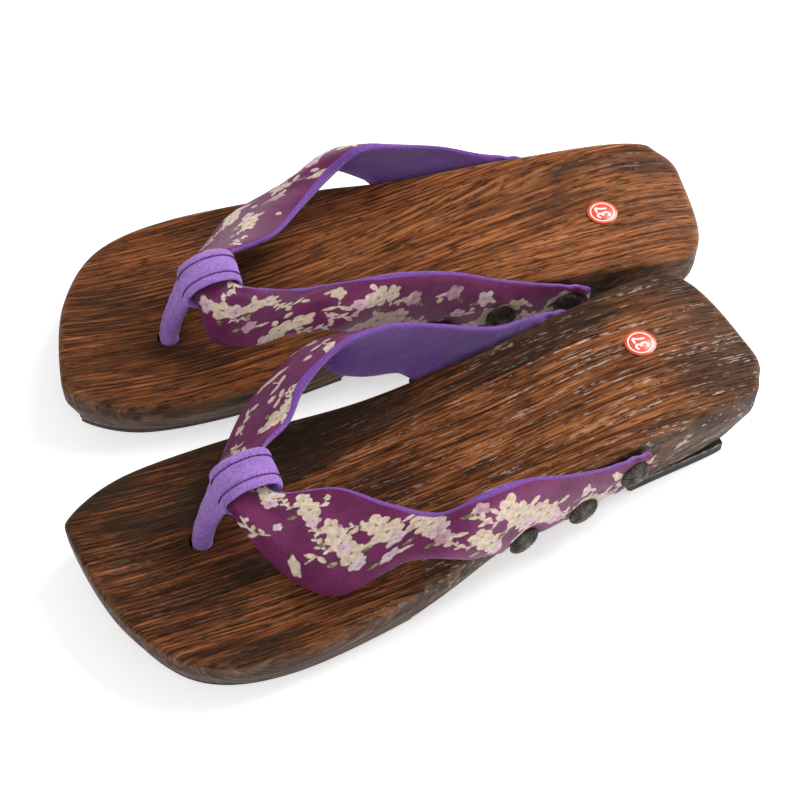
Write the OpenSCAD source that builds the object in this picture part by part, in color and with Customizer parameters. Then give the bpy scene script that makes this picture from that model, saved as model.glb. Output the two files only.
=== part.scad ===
// Pair of wooden spa slippers with a padded thong strap.
// Each sole is edge-glued from three planks, stands on a forefoot and a heel
// rubber, and carries a layered cloth strap held by a toe loop and side nails.
// Toes point to -Y, heels to +Y, and the slippers stand on Z = 0.

/* [View] */
// Sub-part to draw, or "all" for the whole pair

/* [Sole] */
// Length of each wooden sole
sole_len = 240; // [200:1:300]
// Width of each wooden sole at the ball of the foot
sole_w = 89; // [75:0.5:110]
// Height of the footbed at the toe tip
toe_h = 24; // [18:0.5:32]
// Height of the footbed at its lowest point, under the ball of the foot
ball_h = 19.6; // [14:0.2:28]
// Height of the footbed at its highest point, under the heel
heel_h = 37; // [28:0.5:60]
// How far the side walls lean in towards the underside
wall_lean = 4; // [0:0.5:8]
// Extra lean of the wall at the back of the heel
heel_lean = 6; // [0:0.5:12]
// Height of the arch above the ground
arch_h = 12; // [7:0.5:18]

/* [Planks] */
// Sideways position of the seam on the big-toe side, left slipper
left_seam = 7.5; // [-5:0.5:15]
// Sideways position of the seam on the big-toe side, right slipper
right_seam = 1.8; // [-5:0.2:15]
// Sideways position of the seam on the little-toe side
outer_seam = -20; // [-30:0.5:-12]
// Angle of the big-toe seam to the length of the sole
seam_angle = 5.8; // [0:0.1:10]

/* [Rubber] */
// Thickness of the forefoot rubber
fore_rubber_t = 3.5; // [2:0.5:6]
// Thickness of the heel rubber
heel_rubber_t = 5; // [3:0.5:9]
// How far the rubber is set in from the edge of the footbed
rubber_inset = 3.5; // [1:0.5:8]

/* [Strap] */
// Thickness of the printed outer cloth
cloth_t = 0.8; // [0.5:0.1:1.5]
// Thickness of the felt lining
felt_t = 1.2; // [0.6:0.1:2]
// Scale of the foam between them
pad_scale = 1; // [0.5:0.05:1.5]
// Steps between two stations of the strap
strap_steps = 2; // [1:1:4]

/* [Toe loop] */
// Distance of the toe hole in front of the middle of the sole
toe_hole_y = 79; // [60:1:95]
// Sideways position of the toe hole, left slipper
left_toe_v = 1.5; // [-5:0.5:12]
// Sideways position of the toe hole, right slipper
right_toe_v = 7.5; // [-5:0.5:12]
// Radius of the toe hole
toe_hole_r = 4.2; // [3:0.1:6]
// Radius of the felt post in the toe hole
post_r = 3.6; // [2.5:0.1:5]
// Radius of the cord inside the felt post
cord_r = 1.6; // [1:0.1:2.5]
// Width of the loop across the strap
loop_w = 15; // [10:0.5:22]

/* [Nails] */
// Radius of each domed nail head
nail_head_r = 5.6; // [4:0.1:8]
// Height of each domed nail head
nail_head_h = 2.2; // [1:0.1:4]
// Radius of the nail shank
nail_r = 0.9; // [0.6:0.1:1.5]
// Length of nail in the wood
nail_depth = 11; // [6:0.5:16]
// Distance from the wall to the underside of the head
nail_seat = 3; // [2:0.1:5]

/* [Label] */
// Radius of the round size label
label_r = 5.5; // [4:0.1:9]
// Thickness of the size label
label_t = 0.3; // [0.2:0.05:0.6]

/* [Pair] */
// Sideways distance between the middles of the two slippers
pair_gap = 89.9; // [85:0.1:140]
// How far the right slipper stands behind the left
pair_offset = 11.9; // [-30:0.1:30]
// Angle each slipper's toe turns outwards
toe_out = 1.97; // [0:0.01:10]

/* [Hidden] */
$fn = 40;
ks = sole_len / 240;
kw = sole_w / 89;
// Shift that puts the middle of the pair's outline on the origin
mid_y = 0.21;

// Sole outline as (distance along, distance towards the big toe side)
outline_pts = [
  [-119.5, 14.5],
  [-116.5, 25.5],
  [-94.5, 36.5],
  [-55.5, 38.5],
  [-8.5, 33.3],
  [41.5, 33.6],
  [67, 36.5],
  [109, 37.4],
  [119.7, 0],
  [116, -14],
  [106.5, -20.6],
  [65, -25.6],
  [18.5, -34],
  [-14.5, -43.4],
  [-63.5, -49.5],
  [-95, -41.6],
  [-112.5, -17.7],
];

// Stations of the strap from the outer heel end over the toe to the inner end:
// inner edge (along, towards big toe, height), outer edge, bulge, foam
strap_pts = [
  [[69, -27.2, 32], [70, -25.6, 17], 0.8, 0.8],
  [[51.5, -30.2, 36], [49.5, -28.6, 13.5], 1.0, 1.2],
  [[36, -32, 42.5], [24.5, -34.6, 17.5], 2.2, 1.6],
  [[20, -31.5, 48], [4, -42.7, 25.5], 2.5, 2.2],
  [[5.5, -32.5, 49.5], [-9, -43.5, 35], 2.0, 2.4],
  [[-8, -30, 42], [-23.5, -38.5, 34], 1.2, 2.4],
  [[-21.5, -20, 40.5], [-46, -37, 24.8], 1.5, 2.4],
  [[-35, -9, 41.5], [-60.5, -22, 26.5], 1.5, 2.0],
  [[-54.5, -3.5, 42.5], [-69.5, -3, 39], 0.4, 1.0],
  [[-53.5, 11, 44], [-68, 11, 40.5], 0.4, 1.0],
  [[-41, 19, 45.5], [-66, 21, 29.5], 1.5, 2.0],
  [[-33, 26, 51], [-55, 32.5, 35], 1.5, 2.4],
  [[-20, 32, 56.5], [-42.5, 38, 43], 1.2, 2.4],
  [[-9.5, 34, 58], [-28.5, 42, 45], 1.5, 2.4],
  [[2.5, 35, 57], [-17.5, 38, 35.5], 1.8, 2.2],
  [[18.5, 34, 50.5], [1.5, 37, 27], 2.0, 1.8],
  [[38, 34.5, 40], [24.5, 36.5, 18.5], 1.6, 1.4],
  [[54, 37.4, 35.5], [48, 36.4, 15], 1.0, 1.0],
  [[69, 39.2, 31.5], [68, 37.6, 16.5], 0.8, 0.8],
];
// Samples across the strap, from the outer edge (-1) to the inner edge (1)
across = [-1, -0.88, -0.5, 0, 0.5, 0.88, 1];

// Nails as (distance along, height), rear to front
outer_nails = [[62, 24.5], [42, 18], [18, 20.5]];
inner_nails = [[61, 24], [36, 22.5], [13, 22]];

function crom(a, b, c, d, t) =
  0.5 * (2 * b + (c - a) * t + (2 * a - 5 * b + 4 * c - d) * t * t + (3 * b - a - 3 * c + d) * t * t * t);
function at_end(p, i) = p[min(max(i, 0), len(p) - 1)];
function closed_curve(p, k) = [
  for (i = [0 : len(p) - 1])
    for (j = [0 : k - 1])
      crom(p[(i + len(p) - 1) % len(p)], p[i], p[(i + 1) % len(p)], p[(i + 2) % len(p)], j / k)
];
function open_curve(p, k) = [
  for (i = [0 : len(p) - 2])
    for (j = [0 : (i == len(p) - 2 ? k : k - 1)])
      crom(at_end(p, i - 1), p[i], p[i + 1], at_end(p, i + 2), j / k)
];
function reversed(p) = [for (i = [len(p) - 1 : -1 : 0]) p[i]];
function unit(v) = v / norm(v);
// Sole coordinates (along, towards the big toe, height) to the left slipper's own frame
function place(p) = [-p[1] * kw, p[0] * ks, p[2]];

outline = reversed([for (p = closed_curve(outline_pts, 6)) [-p[1] * kw, p[0] * ks]]);
n_out = len(outline);
normals = [
  for (i = [0 : n_out - 1])
    let (t = unit(outline[(i + 1) % n_out] - outline[(i + n_out - 1) % n_out])) [t[1], -t[0]]
];
// Height of the footbed along the sole
bed_pts = [
  [-140 * ks, toe_h + 4.8],
  [-120 * ks, toe_h],
  [-100 * ks, ball_h + 1.3],
  [-80 * ks, ball_h],
  [-60 * ks, ball_h + 0.2],
  [-40 * ks, ball_h + 1.7],
  [-20 * ks, ball_h + 4.1],
  [0, ball_h + 7.1],
  [20 * ks, heel_h - 6.9],
  [40 * ks, heel_h - 3.7],
  [60 * ks, heel_h - 1.2],
  [80 * ks, heel_h],
  [100 * ks, heel_h - 0.3],
  [120 * ks, heel_h - 2.8],
  [140 * ks, heel_h - 7],
];
bed_curve = open_curve(bed_pts, 4);
function bed_z(y) = lookup(y, bed_curve);
// Underside of the wood along the sole
under_pts = [
  [-22 * ks, fore_rubber_t],
  [-16 * ks, arch_h * 0.54],
  [-8 * ks, arch_h * 0.82],
  [2 * ks, arch_h * 0.98],
  [12 * ks, arch_h],
  [25 * ks, arch_h * 0.97],
  [38 * ks, arch_h * 0.86],
  [50 * ks, arch_h * 0.7],
  [60 * ks, heel_rubber_t + 1],
  [66 * ks, heel_rubber_t],
];
under_curve = open_curve(under_pts, 3);

function lean_at(p) = wall_lean + heel_lean * pow(max(p[1] / (120 * ks), 0), 4) + 2 * pow(max(-p[1] / (120 * ks), 0), 4);
function inset_ring(k) = [for (i = [0 : n_out - 1]) outline[i] - normals[i] * k];

// Where the wall of one side (-1 outer, 1 inner) stands at a distance along and a height
function wall_hits(side, y) = [
  for (i = [0 : n_out - 1])
    let (a = outline[i], b = outline[(i + 1) % n_out])
      if ((a[1] - y) * (b[1] - y) <= 0 && a[1] != b[1])
        a[0] + (b[0] - a[0]) * (y - a[1]) / (b[1] - a[1])
];
function wall_x(side, y) = side > 0 ? min(wall_hits(side, y)) : max(wall_hits(side, y));
function wall_dir(side, y) =
  let (d = unit([wall_x(side, y + 2) - wall_x(side, y - 2), 4]))
    side > 0 ? [-d[1], d[0], 0] : [d[1], -d[0], 0];

// One slipper's pieces, drawn for the left foot in its own frame

module wall_block() {
  low = [for (i = [0 : n_out - 1]) let (q = outline[i] - normals[i] * lean_at(outline[i])) [q[0], q[1], -1]];
  mid = [for (i = [0 : n_out - 1]) let (q = outline[i] - normals[i] * 0.4) [q[0], q[1], 0.62 * bed_z(q[1])]];
  top = [for (i = [0 : n_out - 1]) [outline[i][0], outline[i][1], heel_h + 12]];
  m = n_out;
  polyhedron(
    points = concat(low, mid, top),
    faces = concat(
      [[for (i = [0 : m - 1]) i]],
      [for (i = [0 : m - 1]) [i, i + m, (i + 1) % m + m]],
      [for (i = [0 : m - 1]) [i, (i + 1) % m + m, (i + 1) % m]],
      [for (i = [0 : m - 1]) [i + m, i + 2 * m, (i + 1) % m + 2 * m]],
      [for (i = [0 : m - 1]) [i + m, (i + 1) % m + 2 * m, (i + 1) % m + m]],
      [[for (i = [m - 1 : -1 : 0]) i + 2 * m]]
    )
  );
}

module side_profile() {
  rotate([90, 0, 90])
    linear_extrude(height = 140, center = true)
      polygon(concat(
        [[-140 * ks, fore_rubber_t]],
        under_curve,
        [[140 * ks, heel_rubber_t]],
        reversed(bed_curve)
      ));
}

module sole_wood() {
  intersection() {
    wall_block();
    side_profile();
  }
}

// Region between two seams, in plan
module plank_region(low_v, low_angle, high_v, high_angle) {
  y = 150 * ks;
  seat = -85 * ks;
  linear_extrude(height = 80)
    polygon([
      [-low_v + (y + seat) * tan(low_angle), -y],
      [-high_v + (y + seat) * tan(high_angle), -y],
      [-high_v - (y - seat) * tan(high_angle), y],
      [-low_v - (y - seat) * tan(low_angle), y],
    ]);
}

module nail_at(side, nail) {
  y = nail[0] * ks;
  d = wall_dir(side, y);
  translate([wall_x(side, y), y, nail[1]])
    rotate([0, 0, atan2(d[1], d[0])])
      rotate([0, 90, 0])
        children();
}

module shank_holes() {
  for (nail = outer_nails)
    nail_at(-1, nail)
      translate([0, 0, -nail_depth])
        cylinder(r = nail_r, h = nail_depth + nail_seat + 6, $fn = 24);
  for (nail = inner_nails)
    nail_at(1, nail)
      translate([0, 0, -nail_depth])
        cylinder(r = nail_r, h = nail_depth + nail_seat + 6, $fn = 24);
}

module head_seats() {
  for (nail = outer_nails)
    nail_at(-1, nail)
      translate([0, 0, nail_seat])
        cylinder(r = nail_head_r + 0.3, h = 8);
  for (nail = inner_nails)
    nail_at(1, nail)
      translate([0, 0, nail_seat])
        cylinder(r = nail_head_r + 0.3, h = 8);
}

module toe_bore(toe_v) {
  translate([-toe_v, -toe_hole_y, 0])
    cylinder(r = toe_hole_r, h = 60);
  translate([-toe_v, -toe_hole_y, 0])
    cylinder(r = 7.5, h = fore_rubber_t + 7);
}

module plank_outer() {
  color("#5a3520")
    difference() {
      intersection() {
        sole_wood();
        plank_region(-70, 0, outer_seam, 0.8);
      }
      shank_holes();
    }
}

module plank_middle(seam, toe_v) {
  color("#6b4226")
    difference() {
      intersection() {
        sole_wood();
        plank_region(outer_seam, 0.8, seam, seam_angle);
      }
      toe_bore(toe_v);
      shank_holes();
    }
}

module plank_inner(seam, toe_v) {
  color("#3c2416")
    difference() {
      intersection() {
        sole_wood();
        plank_region(seam, seam_angle, 70, 0);
      }
      toe_bore(toe_v);
      shank_holes();
    }
}

module outsole_forefoot() {
  color("#1b1b1c")
    intersection() {
      linear_extrude(height = fore_rubber_t)
        polygon(inset_ring(rubber_inset + 0.8));
      translate([-70, -150 * ks, -1])
        cube([140, 128 * ks, 20]);
    }
}

module outsole_heel() {
  color("#1b1b1c")
    difference() {
      intersection() {
        linear_extrude(height = heel_rubber_t)
          polygon(inset_ring(rubber_inset + 0.5));
        translate([-70, 66 * ks, -1])
          cube([140, 39 * ks, 20]);
      }
      translate([-70, 66 * ks, 0])
        rotate([45, 0, 0])
          cube([140, 2.2, 2.2], center = false);
    }
}

inner_line = open_curve([for (s = strap_pts) place(s[0])], strap_steps);
outer_line = open_curve([for (s = strap_pts) place(s[1])], strap_steps);
shape_line = open_curve([for (s = strap_pts) [s[2], s[3]]], strap_steps);
n_st = len(inner_line);
mid_line = [for (i = [0 : n_st - 1]) (inner_line[i] + outer_line[i]) / 2];
strap_e = [for (i = [0 : n_st - 1]) unit(inner_line[i] - outer_line[i])];
strap_n = [
  for (i = [0 : n_st - 1])
    unit(cross(strap_e[i], unit(mid_line[min(i + 1, n_st - 1)] - mid_line[max(i - 1, 0)])))
];
// Foam thickness across the strap
function foam(i, s) = abs(s) >= 0.88 ? 0 : pad_scale * shape_line[i][1] * (1 - s * s * 0.7);
// Point of the strap at station i, sample s, and an offset along the cloth's normal
function strap_point(i, s, off) =
  mid_line[i] + strap_e[i] * s * norm(inner_line[i] - outer_line[i]) / 2
  + strap_n[i] * (shape_line[i][0] * (1 - s * s) + off);

// Sweeps rings of m points; each ring runs clockwise seen from the start. From point
// "turn" on the quads split along their other diagonal, so that layers share facets.
module swept(rings, turn = 1000) {
  m = len(rings[0]);
  n = len(rings);
  polyhedron(
    points = [for (r = rings) for (p = r) p],
    faces = concat(
      [for (j = [1 : m - 2]) [0, j, j + 1]],
      [for (i = [0 : n - 2]) for (j = [0 : m - 1])
        [i * m + j, (i + 1) * m + j, j < turn ? i * m + (j + 1) % m : (i + 1) * m + (j + 1) % m]],
      [for (i = [0 : n - 2]) for (j = [0 : m - 1])
        [i * m + (j + 1) % m, j < turn ? (i + 1) * m + j : i * m + j, (i + 1) * m + (j + 1) % m]],
      [for (j = [1 : m - 2]) [(n - 1) * m, (n - 1) * m + j + 1, (n - 1) * m + j]]
    )
  );
}

function cloth_ring(i) = concat(
  [for (s = across) strap_point(i, s, foam(i, s) / 2 + cloth_t)],
  [for (s = reversed(across)) strap_point(i, s, foam(i, s) / 2)]
);
function foam_ring(i) = concat(
  [for (k = [1 : 5]) strap_point(i, across[k], foam(i, across[k]) / 2)],
  [for (k = [4 : -1 : 2]) strap_point(i, across[k], -foam(i, across[k]) / 2)]
);
function felt_ring(i) = concat(
  [for (s = across) strap_point(i, s, -foam(i, s) / 2)],
  [for (s = reversed(across)) strap_point(i, s, -foam(i, s) / 2 - felt_t)]
);

module strap_fabric() {
  color("#7a2a63")
    difference() {
      swept([for (i = [0 : n_st - 1]) cloth_ring(i)], len(across));
      shank_holes();
      head_seats();
    }
}

module strap_padding() {
  color("#e9e2d2")
    difference() {
      swept([for (i = [0 : n_st - 1]) foam_ring(i)], len(across) - 3);
      shank_holes();
      head_seats();
    }
}

module strap_felt() {
  color("#7d56b3")
    difference() {
      swept([for (i = [0 : n_st - 1]) felt_ring(i)], len(across));
      shank_holes();
      head_seats();
    }
}

// Middle of the loop around the strap
loop_at = [-4 * kw, -61.4 * ks, 41.4];

module loop_shape(ry, rz, w) {
  translate(loop_at)
    rotate([14, 0, 0])
      rotate([90, 0, 90])
        linear_extrude(height = w, center = true)
          scale([ry / 10, rz / 10])
            circle(r = 10);
}

// Stations of the toe post from the knot recess up to the front of the loop:
// distance behind the toe hole, height, half width, half depth, share of the way to the loop
post_pts = [
  [0, 9.8, 3.6, 3.6, 0],
  [0, 15, 3.6, 3.6, 0],
  [0.3, 21, 3.6, 3.6, 0],
  [1.6, 25.5, 3.8, 3.6, 0.25],
  [3.8, 30, 4.4, 3.5, 0.55],
  [6.3, 34.5, 5.6, 3.2, 0.85],
  [8.8, 39, 6.8, 2.6, 1],
];
post_line = open_curve(post_pts, 2);

function post_centre(i, toe_v) = [
  -toe_v + (loop_at[0] + toe_v) * post_line[i][4],
  -toe_hole_y + post_line[i][0],
  post_line[i][1]
];
function post_ring(i, toe_v, ra, rb) =
  let (tilt = atan(0.55 * post_line[i][4]))
    [
      for (k = [0 : 13])
        let (t = 360 * k / 14)
          post_centre(i, toe_v) + [ra * cos(t), rb * sin(t) * cos(tilt), -rb * sin(t) * sin(tilt)]
    ];

module toe_post(toe_v) {
  scale_r = post_r / 3.6;
  swept([
    for (i = [0 : len(post_line) - 1])
      post_ring(i, toe_v, post_line[i][2] * scale_r, post_line[i][3] * scale_r)
  ]);
}

module toe_cord(toe_v) {
  swept([for (i = [0 : len(post_line) - 3]) post_ring(i, toe_v, cord_r, cord_r)]);
}

module toe_loop_felt(toe_v) {
  color("#8a62c4")
    difference() {
      union() {
        toe_post(toe_v);
        loop_shape(10.4, 6, loop_w);
      }
      loop_shape(9.2, 4.9, loop_w + 20);
      toe_cord(toe_v);
    }
}

module toe_loop_cord(toe_v) {
  color("#cbbfae")
    union() {
      toe_cord(toe_v);
      translate([-toe_v, -toe_hole_y, fore_rubber_t + 0.4])
        cylinder(r1 = 2, r2 = 3, h = 2.6);
      translate([-toe_v, -toe_hole_y, fore_rubber_t + 3])
        cylinder(r1 = 3, r2 = 1.6, h = 2.8);
      translate([-toe_v, -toe_hole_y, fore_rubber_t + 5.6])
        cylinder(r = 1.5, h = 2);
    }
}

module toe_washer(toe_v) {
  color("#8f8f8f")
    translate([-toe_v, -toe_hole_y, fore_rubber_t + 5.6])
      difference() {
        cylinder(r = 6.6, h = 0.6);
        translate([0, 0, -1])
          cylinder(r = cord_r + 0.35, h = 3);
      }
}

module nail_solid() {
  translate([0, 0, -nail_depth + 3])
    cylinder(r = nail_r, h = nail_depth + nail_seat - 3, $fn = 24);
  translate([0, 0, -nail_depth])
    cylinder(r1 = 0.05, r2 = nail_r, h = 3, $fn = 24);
  dome_r = (nail_head_r * nail_head_r + nail_head_h * nail_head_h) / (2 * nail_head_h);
  translate([0, 0, nail_seat])
    intersection() {
      cylinder(r = nail_head_r, h = nail_head_h + 1);
      translate([0, 0, nail_head_h - dome_r])
        sphere(r = dome_r);
    }
}

module nails_outer() {
  color("#4b4030")
    for (nail = outer_nails)
      nail_at(-1, nail)
        nail_solid();
}

module nails_inner() {
  color("#4b4030")
    for (nail = inner_nails)
      nail_at(1, nail)
        nail_solid();
}

module size_label() {
  color("#d8402c")
    translate([-12 * kw, 83 * ks, heel_h + 0.1])
      cylinder(r = label_r, h = label_t);
}

module as_left() {
  translate([pair_gap / 2, mid_y - pair_offset / 2, 0])
    rotate([0, 0, toe_out])
      children();
}

module as_right() {
  translate([-pair_gap / 2, mid_y + pair_offset / 2, 0])
    rotate([0, 0, -toe_out])
      mirror([1, 0, 0])
        children();
}

as_left() plank_outer();  // left_plank_outer
as_left() plank_middle(left_seam, left_toe_v);  // left_plank_middle
as_left() plank_inner(left_seam, left_toe_v);  // left_plank_inner
as_left() outsole_forefoot();  // left_outsole_forefoot
as_left() outsole_heel();  // left_outsole_heel
as_left() strap_fabric();  // left_strap_fabric
as_left() strap_padding();  // left_strap_padding
as_left() strap_felt();  // left_strap_felt
as_left() toe_loop_felt(left_toe_v);  // left_toe_loop_felt
as_left() toe_loop_cord(left_toe_v);  // left_toe_loop_cord
as_left() toe_washer(left_toe_v);  // left_toe_washer
as_left() nails_outer();  // left_nails_outer
as_left() nails_inner();  // left_nails_inner
as_left() size_label();  // left_size_label
as_right() plank_outer();  // right_plank_outer
as_right() plank_middle(right_seam, right_toe_v);  // right_plank_middle
as_right() plank_inner(right_seam, right_toe_v);  // right_plank_inner
as_right() outsole_forefoot();  // right_outsole_forefoot
as_right() outsole_heel();  // right_outsole_heel
as_right() strap_fabric();  // right_strap_fabric
as_right() strap_padding();  // right_strap_padding
as_right() strap_felt();  // right_strap_felt
as_right() toe_loop_felt(right_toe_v);  // right_toe_loop_felt
as_right() toe_loop_cord(right_toe_v);  // right_toe_loop_cord
as_right() toe_washer(right_toe_v);  // right_toe_washer
as_right() nails_outer();  // right_nails_outer
as_right() nails_inner();  // right_nails_inner
as_right() size_label();  // right_size_label
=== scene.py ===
import math
import random

import bmesh
import bpy
import numpy as np
from mathutils import Matrix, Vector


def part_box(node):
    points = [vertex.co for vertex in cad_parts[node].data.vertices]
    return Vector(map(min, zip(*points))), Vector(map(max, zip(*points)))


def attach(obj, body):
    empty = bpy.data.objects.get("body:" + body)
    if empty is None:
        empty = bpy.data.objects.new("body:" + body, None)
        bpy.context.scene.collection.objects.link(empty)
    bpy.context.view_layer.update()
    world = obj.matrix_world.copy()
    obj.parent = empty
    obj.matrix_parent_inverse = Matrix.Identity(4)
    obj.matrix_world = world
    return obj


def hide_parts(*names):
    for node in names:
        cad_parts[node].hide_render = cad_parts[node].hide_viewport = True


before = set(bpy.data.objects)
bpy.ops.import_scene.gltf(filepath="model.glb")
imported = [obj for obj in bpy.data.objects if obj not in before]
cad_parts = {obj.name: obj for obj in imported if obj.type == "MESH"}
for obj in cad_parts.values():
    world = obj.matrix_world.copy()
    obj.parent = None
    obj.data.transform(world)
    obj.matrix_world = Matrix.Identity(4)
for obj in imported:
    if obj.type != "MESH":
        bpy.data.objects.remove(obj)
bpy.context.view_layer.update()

scene = bpy.context.scene

# Two slippers, each in its own millimetre space: toe to -Y, big toe of the left one to -X

slippers = {
    "left": {"mirror": 1, "toeHole": 1.5, "seam": 7.5, "seed": 11},
    "right": {"mirror": -1, "toeHole": 7.5, "seam": 1.8, "seed": 29},
}
toeHoleY = -79
labelSpot = (-12, 83)


def boxMiddle(node):
    low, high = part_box(node)
    return (np.array(low) + np.array(high)) * 500


def slipperPlace(side):
    # the washer and the size label fix where a slipper stands and how it is turned
    kind = slippers[side]
    washer = boxMiddle(side + "_toe_washer")[:2]
    label = boxMiddle(side + "_size_label")[:2]
    ownWasher = np.array([-kind["toeHole"] * kind["mirror"], toeHoleY])
    ownLabel = np.array([labelSpot[0] * kind["mirror"], labelSpot[1]])
    there, own = label - washer, ownLabel - ownWasher
    turn = math.atan2(there[1], there[0]) - math.atan2(own[1], own[0])
    spin = np.array([[math.cos(turn), -math.sin(turn)], [math.sin(turn), math.cos(turn)]])
    kind["spin"] = spin
    kind["shift"] = washer - spin @ ownWasher


def toRow(side, points):
    kind = slippers[side]
    moved = np.array(points, float).reshape(-1, 3).copy()
    moved[:, 0] *= kind["mirror"]
    moved[:, :2] = moved[:, :2] @ kind["spin"].T + kind["shift"]
    return moved / 1000


for side in slippers:
    slipperPlace(side)


# Small curve and mesh helpers

def smoothLine(points, steps, closed=False):
    knots = np.array(points, float)
    count = len(knots)
    spans = count if closed else count - 1
    take = (lambda i: knots[i % count]) if closed else (lambda i: knots[min(max(i, 0), count - 1)])
    line = []
    for i in range(spans):
        a, b, c, d = take(i - 1), take(i), take(i + 1), take(i + 2)
        for j in range(steps):
            t = j / steps
            line.append(0.5 * (2 * b + (c - a) * t + (2 * a - 5 * b + 4 * c - d) * t * t
                               + (3 * b - a - 3 * c + d) * t ** 3))
    if not closed:
        line.append(knots[-1])
    return np.array(line)


def unit(vectors):
    vectors = np.array(vectors, float)
    return vectors / np.maximum(np.linalg.norm(vectors, axis=-1, keepdims=True), 1e-9)


def fade(value, low, high):
    t = np.clip((value - low) / (high - low), 0, 1)
    return t * t * (3 - 2 * t)


def gridFaces(rows, columns, wrapRows=False, wrapColumns=False, start=0):
    faces = []
    for i in range(rows if wrapRows else rows - 1):
        k = (i + 1) % rows
        for j in range(columns if wrapColumns else columns - 1):
            m = (j + 1) % columns
            faces.append((start + i * columns + j, start + k * columns + j,
                          start + k * columns + m, start + i * columns + m))
    return faces


def addAttribute(mesh, name, values):
    values = np.asarray(values, np.float32)
    if values.ndim == 1:
        mesh.attributes.new(name, "FLOAT", "POINT").data.foreach_set("value", values)
    else:
        mesh.attributes.new(name, "FLOAT_VECTOR", "POINT").data.foreach_set("vector", values.ravel())


def placed(name, data):
    item = bpy.data.objects.new(name, data)
    scene.collection.objects.link(item)
    return item


def solidMesh(name, points, faces):
    # a mesh with all its normals turned outwards
    bm = bmesh.new()
    verts = [bm.verts.new(p) for p in points]
    for face in faces:
        bm.faces.new([verts[i] for i in face])
    bmesh.ops.recalc_face_normals(bm, faces=bm.faces)
    mesh = bpy.data.meshes.new(name)
    bm.to_mesh(mesh)
    bm.free()
    return mesh


def worked(item):
    # the mesh that an object's modifiers make; the object is not needed afterwards
    bpy.context.view_layer.update()
    done = bpy.data.meshes.new_from_object(item.evaluated_get(bpy.context.evaluated_depsgraph_get()))
    bpy.data.objects.remove(item)
    return done


def addPiece(side, name, points, faces, material, nodes=(), sharp=None, layers=None):
    mesh = bpy.data.meshes.new(side + "_" + name)
    if slippers[side]["mirror"] < 0:
        faces = [tuple(reversed(face)) for face in faces]
    mesh.from_pydata(toRow(side, points).tolist(), [], [tuple(face) for face in faces])
    mesh.validate()
    mesh.shade_smooth()
    if sharp:
        mesh.set_sharp_from_angle(angle=math.radians(sharp))
    for layer, values in (layers or {}).items():
        addAttribute(mesh, layer, values)
    piece = placed(side + "_" + name, mesh)
    mesh.materials.append(material)
    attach(piece, side + "_slipper")
    if nodes:
        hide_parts(*[side + "_" + node for node in nodes])
    return piece


def lathe(profile, segments, ripple=None):
    # profile: (radius, height) from the middle of the underside round to the middle of the top
    points, faces = [], []
    last = len(profile) - 1
    rings = []
    for i, (radius, height) in enumerate(profile):
        if i in (0, last) and radius < 1e-6:
            rings.append([len(points)])
            points.append((0, 0, height))
            continue
        ring = []
        for k in range(segments):
            angle = 2 * math.pi * k / segments
            r, z = (radius, height) if ripple is None else ripple(radius, height, angle)
            ring.append(len(points))
            points.append((r * math.cos(angle), r * math.sin(angle), z))
        rings.append(ring)
    for low, high in zip(rings, rings[1:]):
        for k in range(segments):
            m = (k + 1) % segments
            if len(low) == 1:
                faces.append((low[0], high[m], high[k]))
            elif len(high) == 1:
                faces.append((low[k], low[m], high[0]))
            else:
                faces.append((low[k], low[m], high[m], high[k]))
    return np.array(points, float), faces


def ringLathe(profile, segments):
    # a lathe whose profile closes on itself
    points, faces = lathe(profile, segments)
    last = (len(profile) - 1) * segments
    faces += [(last + k, last + (k + 1) % segments, (k + 1) % segments, k) for k in range(segments)]
    return points, faces


def sweepTube(path, radius, segments, bumps=None):
    # closed tube along a path; bumps(angle, distance) scales the radius
    path = np.array(path, float)
    along = np.r_[0, np.cumsum(np.linalg.norm(np.diff(path, axis=0), axis=1))]
    tangent = unit(np.gradient(path, axis=0))
    side = unit(np.cross(tangent[0], (0.3, 1, 0.2)))
    points = []
    for i, centre in enumerate(path):
        side = unit(side - tangent[i] * np.dot(side, tangent[i]))
        other = np.cross(tangent[i], side)
        for k in range(segments):
            angle = 2 * math.pi * k / segments
            r = radius if np.isscalar(radius) else radius[i]
            if bumps:
                r = r * bumps(angle, along[i])
            points.append(centre + r * (side * math.cos(angle) + other * math.sin(angle)))
    faces = gridFaces(len(path), segments, wrapColumns=True)
    faces = [tuple(reversed(face)) for face in faces]
    first, last = len(points), len(points) + 1
    points += [path[0], path[-1]]
    end = (len(path) - 1) * segments
    for k in range(segments):
        m = (k + 1) % segments
        faces.append((first, m, k))
        faces.append((last, end + k, end + m))
    return np.array(points), faces


def joined(parts):
    points, faces, start = [], [], 0
    for some, sides in parts:
        points.append(np.array(some, float))
        faces += [tuple(start + i for i in face) for face in sides]
        start += len(some)
    return np.concatenate(points), faces


def noiseWaves(seed, count, low, high):
    # a seeded sum of sine waves over (along, across), wavelengths from low to high
    dice = random.Random(seed)
    waves = []
    for _ in range(count):
        length = dice.uniform(low, high)
        angle = dice.uniform(0, math.pi)
        waves.append((2 * math.pi / length * math.cos(angle), 2 * math.pi / length * math.sin(angle),
                      dice.uniform(0, 2 * math.pi)))
    return lambda a, b: sum(np.sin(p * a + q * b + r) for p, q, r in waves) / math.sqrt(count)


# Shader helpers

def newMaterial(name):
    material = bpy.data.materials.new(name)
    material.use_nodes = True
    tree = material.node_tree
    return material, tree, tree.nodes["Principled BSDF"]


def put(tree, socket, value):
    if isinstance(value, bpy.types.NodeSocket):
        tree.links.new(value, socket)
    elif value is not None:
        socket.default_value = value


def calc(tree, operation, a, b=None, clamp=False):
    node = tree.nodes.new("ShaderNodeMath")
    node.operation = operation
    node.use_clamp = clamp
    for socket, value in zip(node.inputs, (a, b)):
        put(tree, socket, value)
    return node.outputs[0]


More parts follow.
